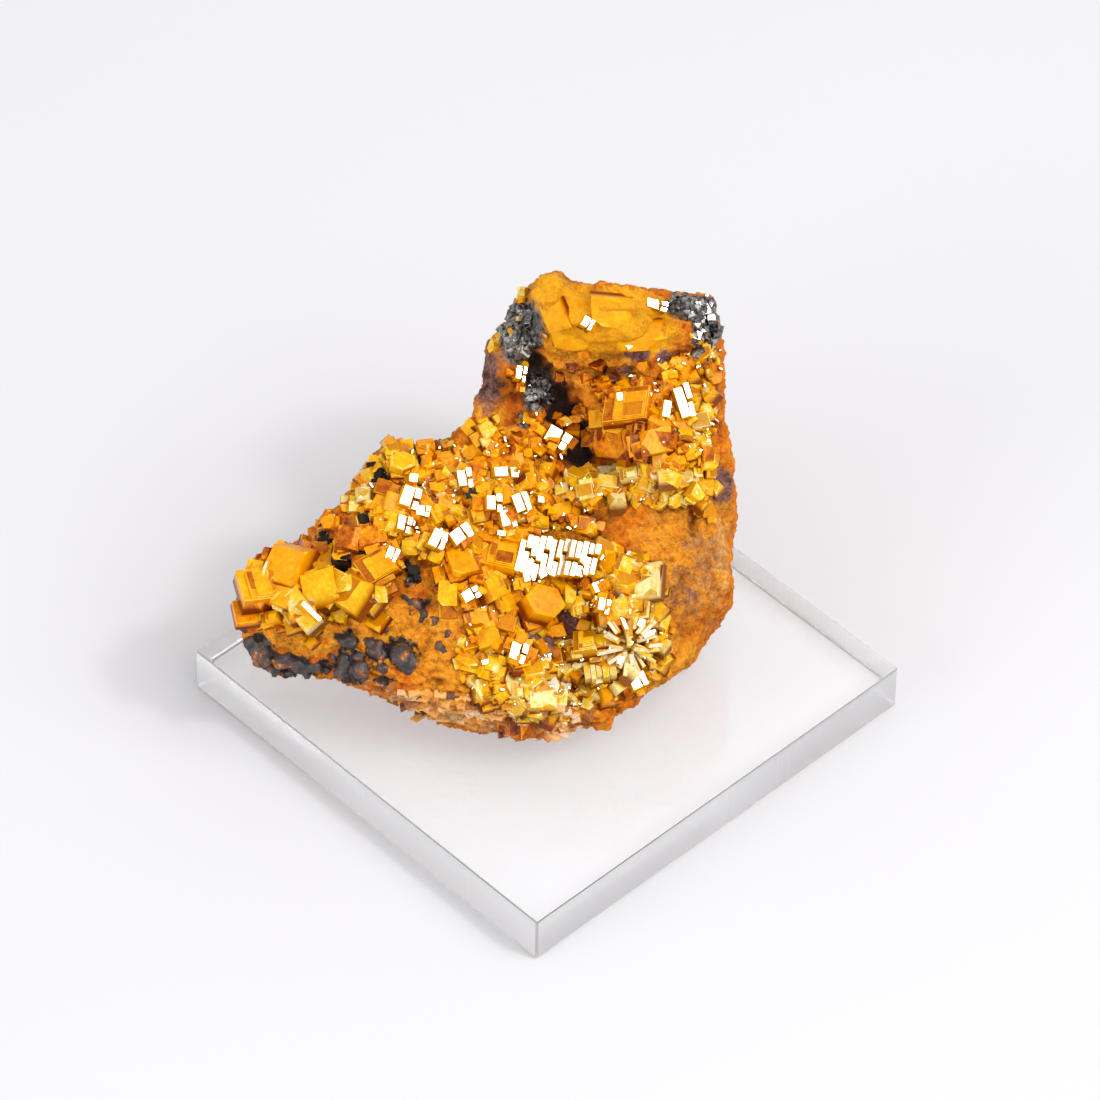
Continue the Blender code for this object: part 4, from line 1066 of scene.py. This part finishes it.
def crystal_rows(group, source):
    """The listed crystals of a group, each with rough fillers crowded around it."""
    rows = []
    flush = group in FLUSH_GROUPS
    for across, up, width, height, rise, turn, *look in CRYSTALS[group]:
        point, normal = Studio.surface.at(across, up)
        if point is None:
            continue
        form, tone = look or ("block", BRIGHT_SIDE_TONE)
        axis = crystal_axis(point, normal, source, CRYSTAL_LEAN, not look)
        if not look:
            rows += glint_cluster(point, axis, (width, height, rise), turn, source)
        else:
            if flush:
                axis = normal
            if form in ("block", "cut") and source.random() < ROUGH_SHARE:
                form = source.choice(ROUGH_FORMS)
            rise *= SHOWN_RISE
            tall = (rise + ROOT) * MM
            rows.append((form, frame_on(point + axis * (rise * MM - tall / 2), axis, turn),
                         (width * MM, height * MM, tall), min(tone, GLINT_TONE)))
        for _ in range(0 if flush else FILLERS):
            a = across + source.uniform(-0.75, 0.75) * width
            u = up + source.uniform(-0.75, 0.75) * height
            spot, facing = Studio.surface.at(a, u)
            if spot is None or in_clear_area(a, u):
                continue
            side_axis = axis if look else crystal_axis(spot, facing, source, FILLER_LEAN, False)
            size = source.uniform(0.35, 0.8) * min(width, height)
            low = source.uniform(0.4, 0.9) * rise
            side_tone = min(tone, FILLER_TONE) + source.uniform(-0.20, 0.12)
            rows.append((source.choice(ROUGH_FORMS + ("block", "step", "cut")),
                         frame_on(spot + side_axis * (low / 2 * MM), side_axis, turn),
                         (size * MM, size * MM * source.uniform(0.8, 1.3), low * MM), side_tone))
    return rows


def plate_rows(source):
    """The striated plate: narrow parallel blades that lean to the right, some broken in two, their tops
    painted white as highlights.
    """
    rows = []
    for i in range(PLATE_BLADES):
        length = PLATE_LENGTH - 0.30 * abs(i - 4) + source.uniform(-0.5, 0.5)
        middle = PLATE_START[1] + PLATE_STEP[1] * i + source.uniform(-0.2, 0.2)
        point, _ = Studio.surface.at(PLATE_START[0] + PLATE_STEP[0] * i, middle)
        split = source.choice((1.0, 0.62, 0.45, 0.35))
        begin = -length / 2
        for share in (split, 1.0 - split):
            if share < 0.01:
                continue
            piece = length * share
            shift = begin + piece / 2
            begin += piece
            axis = (glint_axis(point) + random_vector(source) * 0.004).normalized()
            rise = PLATE_RISE + source.uniform(-0.14, 0.14)
            centre = point + (UP + ACROSS * PLATE_LEAN) * shift * MM
            rows.append(("block", frame_on(centre + axis * (rise / 2 - 1.0) * MM, axis, PLATE_TURN),
                         (source.uniform(1.25, 1.38) * MM, piece * 0.99 * MM, (rise + 2.0) * MM), 1.0))
    return rows


def rosette_rows(source):
    """Narrow blades that point outwards all round, half turned to mirror the small light; high-tone ones
    get a painted white top.
    """
    rows = []
    for i in range(ROSETTE_BLADES):
        angle = 2 * math.pi * i / ROSETTE_BLADES + source.uniform(-0.12, 0.12)
        reach = source.uniform(*ROSETTE_REACH)
        point, normal = Studio.surface.at(ROSETTE_MIDDLE[0] + reach * math.cos(angle) * 0.9,
                                          ROSETTE_MIDDLE[1] + reach * math.sin(angle))
        outward = ACROSS * math.cos(angle) + UP * math.sin(angle)
        axis = glint_axis(point)
        if source.random() >= 0.5:
            axis = (normal + outward * 0.35 + BACK * 0.3).normalized()
        place = frame_on(point + axis * source.uniform(0.2, 0.9) * MM, axis, math.degrees(angle) - 90)
        size = (source.uniform(0.7, 1.2) * MM, source.uniform(3.0, 5.6) * MM, 3.0 * MM)
        rows.append(("block", place, size, source.uniform(0.72, 1.0)))
    return rows


def druse_rows(source, amount):
    """Small crystals all over the druse areas, and then fine sparkles, painted highlights that stand clear
    of the rock.
    """
    rows = []
    for *area, count, tone in DRUSE:
        for a, u, point, normal in scattered(area, int(count * amount), source):
            if in_clear_area(a, u):
                continue
            size = (1.0 + 2.7 * source.random() ** 2) * MM
            axis = crystal_axis(point, normal, source, SMALL_LEAN, source.random() < DRUSE_GLINTS)
            form = source.choice(ROUGH_FORMS + ("cut", "block"))
            rows.append((form, frame_on(point - axis * size * 0.25, axis, source.uniform(0, 90)),
                         (size, size * source.uniform(0.7, 1.6), size * 1.2),
                         tone + source.uniform(-0.22, 0.18)))
    # Painted highlights: tiny plates turned to mirror the small light, their tops painted near white.
    for *area, count, _ in DRUSE:
        for _, _, point, normal in scattered(area, count // 6, source):
            size = source.uniform(0.15, 0.5) * MM
            axis = crystal_axis(point, normal, source, 0.0, True)
            rows.append((source.choice(ROUGH_FORMS + ("block",)),
                         frame_on(point + normal * 0.9 * MM, axis, source.uniform(-90, 90)),
                         (size, size * source.uniform(1.0, 3.4), 1.6 * MM), 0.95))
    return rows


def metal_rows(spreads, source):
    rows = []
    for *area, count in spreads:
        for _, _, point, normal in scattered(area, count, source, 0.6):
            size = source.uniform(0.6, 2.2) * MM
            axis = crystal_axis(point, normal, source, SMALL_LEAN, source.random() < METAL_GLINTS)
            rows.append((source.choice(("chip", "block")),
                         frame_on(point - axis * size * 0.25, axis, source.uniform(0, 90)),
                         (size, size * source.uniform(0.6, 1.3), size * 1.1), 0.5))
    return rows


def flake_rows(source):
    """Thin plates that lie nearly level and look out of the rock."""
    rows = []
    for across, up, wide, high, count in FLAKES:
        for _ in range(count):
            point, normal = Studio.surface.at(across + source.uniform(-wide, wide),
                                              up + source.uniform(-high, high))
            if point is None:
                continue
            axis = (Vector((0, 0, 1)) * 0.9 + normal * 0.35 + random_vector(source, 0.3)).normalized()
            size = tuple(source.uniform(low, high) * MM for low, high in FLAKE_SIZES)
            rows.append((source.choice(ROUGH_FORMS),
                         frame_on(point - normal * 0.6 * MM, axis, source.uniform(-40, 40)),
                         size, source.random()))
    return rows


def knob_balls(knob, source):
    """A large ball with smaller ones around it, squashed onto the rock."""
    across, up, width, height, rise = knob
    point, normal = Studio.surface.at(across, up)
    if point is None:
        return []
    balls = []
    for k in range(7):
        bpy.ops.mesh.primitive_ico_sphere_add(subdivisions=3, radius=1)
        ball = bpy.context.object
        share = 0.85 if k == 0 else source.uniform(0.3, 0.55)
        sideways = ACROSS * source.uniform(-0.42, 0.42) * width
        shift = (sideways + UP * source.uniform(-0.42, 0.42) * height) * MM
        spot = point + (shift if k else Vector()) - normal * 0.15 * rise * MM
        size = Matrix.Diagonal([half * share * MM for half in (width / 2, height / 2, rise * 0.75)] + [1])
        ball.matrix_world = frame_on(spot, normal, source.uniform(-20, 20)) @ size
        balls.append(ball)
    return balls


class MIMETITE_OT_limonite(bpy.types.Operator):
    """Model the limonite from its CAD solid, with crags, ledges and colour patches"""

    bl_idname = "mimetite.limonite"
    bl_label = "Limonite Matrix"

    def execute(self, context):
        settings = context.scene.mimetite
        nodes = ["limonite_matrix"] + CRYSTAL_NODES + DARK_NODES
        rock = join([copy_node(node) for node in nodes], "limonite")
        apply_modifier(rock, "REMESH", mode="VOXEL", voxel_size=JOIN_DETAIL)
        apply_modifier(rock, "SMOOTH", iterations=3)
        apply_modifier(rock, "REMESH", mode="VOXEL", voxel_size=settings.rock_detail)
        roughen(rock)
        smooth(rock)
        finish_piece(rock, limonite_material(settings), "limonite", "limonite_matrix")
        Studio.surface = Surface(rock)
        return {"FINISHED"}


class MIMETITE_OT_crystals(bpy.types.Operator):
    """Grow the large crystals, group by group, on the rock"""

    bl_idname = "mimetite.crystals"
    bl_label = "Large Crystals"

    def execute(self, context):
        source = random.Random(11)
        Studio.forms = make_forms()
        material = crystal_material("mimetite", context.scene.mimetite)
        for group in CRYSTAL_NODES:
            rows = crystal_rows(group, source) if group in CRYSTALS else plate_rows(source)
            if group == "mimetite_rosette":
                rows += rosette_rows(source)
            spread = 0.4 if group in FLUSH_GROUPS else 1.0
            piece = build_copies("crystals_" + group.split("_", 1)[1], rows, spread)
            finish_piece(piece, material, "mimetite", group)
        return {"FINISHED"}


class MIMETITE_OT_druse(bpy.types.Operator):
    """Scatter small crystals over the parts of the rock that sparkle"""

    bl_idname = "mimetite.druse"
    bl_label = "Small Crystals"

    def execute(self, context):
        settings = context.scene.mimetite
        piece = build_copies("druse", druse_rows(random.Random(5), settings.druse_amount))
        finish_piece(piece, crystal_material("mimetite_druse", settings, 0.95), "mimetite")
        return {"FINISHED"}


class MIMETITE_OT_knobs(bpy.types.Operator):
    """Model the dark knobs along the lower left edge"""

    bl_idname = "mimetite.knobs"
    bl_label = "Dark Knobs"

    def execute(self, context):
        source = random.Random(3)
        material = goethite_material(context.scene.mimetite)
        for group, knobs in KNOBS.items():
            balls = [ball for knob in knobs for ball in knob_balls(knob, source)]
            for ball in balls:
                apply_place(ball)
            piece = join(balls, group.replace("goethite", "knobs"))
            apply_modifier(piece, "REMESH", mode="VOXEL", voxel_size=KNOB_DETAIL)
            apply_modifier(piece, "SMOOTH", iterations=2)
            for vert in piece.data.vertices:
                p = vert.co * PER_METRE
                vert.co += vert.normal * (0.34 * noise.fractal(p / 1.5, 0.8, 2.0, 4) * MM)
                vert.co.z = max(vert.co.z, LOWEST)
            smooth(piece)
            finish_piece(piece, material, "goethite", group)
        return {"FINISHED"}


class MIMETITE_OT_metal(bpy.types.Operator):
    """Scatter the metallic plates of the grey crusts"""

    bl_idname = "mimetite.metal"
    bl_label = "Metallic Crusts"

    def execute(self, context):
        source = random.Random(9)
        material = galena_material()
        for group, spreads in METAL.items():
            piece = build_copies(group.replace("galena", "metal"), metal_rows(spreads, source))
            finish_piece(piece, material, "galena", group)
        return {"FINISHED"}


class MIMETITE_OT_flakes(bpy.types.Operator):
    """Lay thin broken plates along the layered front edge"""

    bl_idname = "mimetite.flakes"
    bl_label = "Front Flakes"

    def execute(self, context):
        piece = build_copies("flakes", flake_rows(random.Random(21)))
        finish_piece(piece, flake_material(), "limonite")
        return {"FINISHED"}


class MIMETITE_OT_base(bpy.types.Operator):
    """Model the clear acrylic square"""

    bl_idname = "mimetite.base"
    bl_label = "Acrylic Base"

    def execute(self, context):
        low, high = (Vector(corner) for corner in BASE_BOX)
        base = box(high - low, (low + high) / 2)
        base.name = "acrylic_square"
        apply_modifier(base, "BEVEL", width=0.5 * MM, segments=2)
        finish_piece(base, acrylic_material(context.scene.mimetite), "clear_acrylic", "acrylic_base")
        return {"FINISHED"}


def add_floor():
    bpy.ops.mesh.primitive_plane_add(size=FLOOR_SIZE, location=(0, 0, -FLOOR_DROP))
    floor = bpy.context.object
    floor.name = "floor"
    use_material(floor, floor_material())


def add_light(name, power):
    place, direction = light_place(name)
    lamp = bpy.data.objects.new(name, bpy.data.lights.new(name, "AREA"))
    lamp.data.shape = "SQUARE"
    lamp.data.size = LIGHTS[name][1]
    lamp.data.energy = power
    turn = (-direction).to_track_quat("-Z", "Y").to_matrix().to_4x4()
    lamp.matrix_world = Matrix.Translation(place) @ turn
    bpy.context.scene.collection.objects.link(lamp)


def add_world(strength):
    world = bpy.data.worlds.new("studio")
    world.use_nodes = True
    inputs = world.node_tree.nodes["Background"].inputs
    inputs["Color"].default_value = rgba(WORLD_COLOUR)
    inputs["Strength"].default_value = strength
    bpy.context.scene.world = world


def add_camera():
    camera = bpy.data.objects.new("camera", bpy.data.cameras.new("camera"))
    camera.data.lens = LENS
    camera.data.sensor_width = SENSOR
    camera.data.clip_start = 0.05
    camera.data.clip_end = 20
    camera.matrix_world = Matrix.Translation(EYE) @ Matrix((ACROSS, UP, BACK)).transposed().to_4x4()
    bpy.context.scene.collection.objects.link(camera)
    bpy.context.scene.camera = camera


class MIMETITE_OT_stage(bpy.types.Operator):
    """Set up the floor, the lights and the camera"""

    bl_idname = "mimetite.stage"
    bl_label = "Stage"

    def execute(self, context):
        settings = context.scene.mimetite
        add_floor()
        for name in LIGHTS:
            add_light(name, getattr(settings, name + "_strength"))
        add_world(settings.world_strength)
        add_camera()
        context.scene.view_settings.view_transform = "Standard"
        context.scene.cycles.glossy_bounces = 12
        context.scene.cycles.transmission_bounces = 12
        context.scene.cycles.max_bounces = 16
        return {"FINISHED"}


OPERATORS = (
    MIMETITE_OT_limonite, MIMETITE_OT_crystals, MIMETITE_OT_druse, MIMETITE_OT_knobs, MIMETITE_OT_metal,
    MIMETITE_OT_flakes, MIMETITE_OT_base, MIMETITE_OT_stage,
)


class MIMETITE_PT_panel(bpy.types.Panel):
    """Sidebar panel with the settings and one button for each group of pieces"""

    bl_label = "Mimetite Specimen"
    bl_idname = "MIMETITE_PT_panel"
    bl_space_type = "VIEW_3D"
    bl_region_type = "UI"
    bl_category = "Mimetite"

    def draw(self, context):
        for name in MimetiteSettings.__annotations__:
            self.layout.prop(context.scene.mimetite, name)
        for operator in OPERATORS:
            self.layout.operator(operator.bl_idname)


CLASSES = (MimetiteSettings, *OPERATORS, MIMETITE_PT_panel)


def register():
    for cls in CLASSES:
        bpy.utils.register_class(cls)
    bpy.types.Scene.mimetite = bpy.props.PointerProperty(type=MimetiteSettings)


def unregister():
    del bpy.types.Scene.mimetite
    for cls in reversed(CLASSES):
        bpy.utils.unregister_class(cls)


def main():
    register()
    bpy.ops.mimetite.limonite()
    bpy.ops.mimetite.crystals()
    bpy.ops.mimetite.druse()
    bpy.ops.mimetite.knobs()
    bpy.ops.mimetite.metal()
    bpy.ops.mimetite.flakes()
    bpy.ops.mimetite.base()
    bpy.ops.mimetite.stage()


if __name__ == "__main__":
    main()
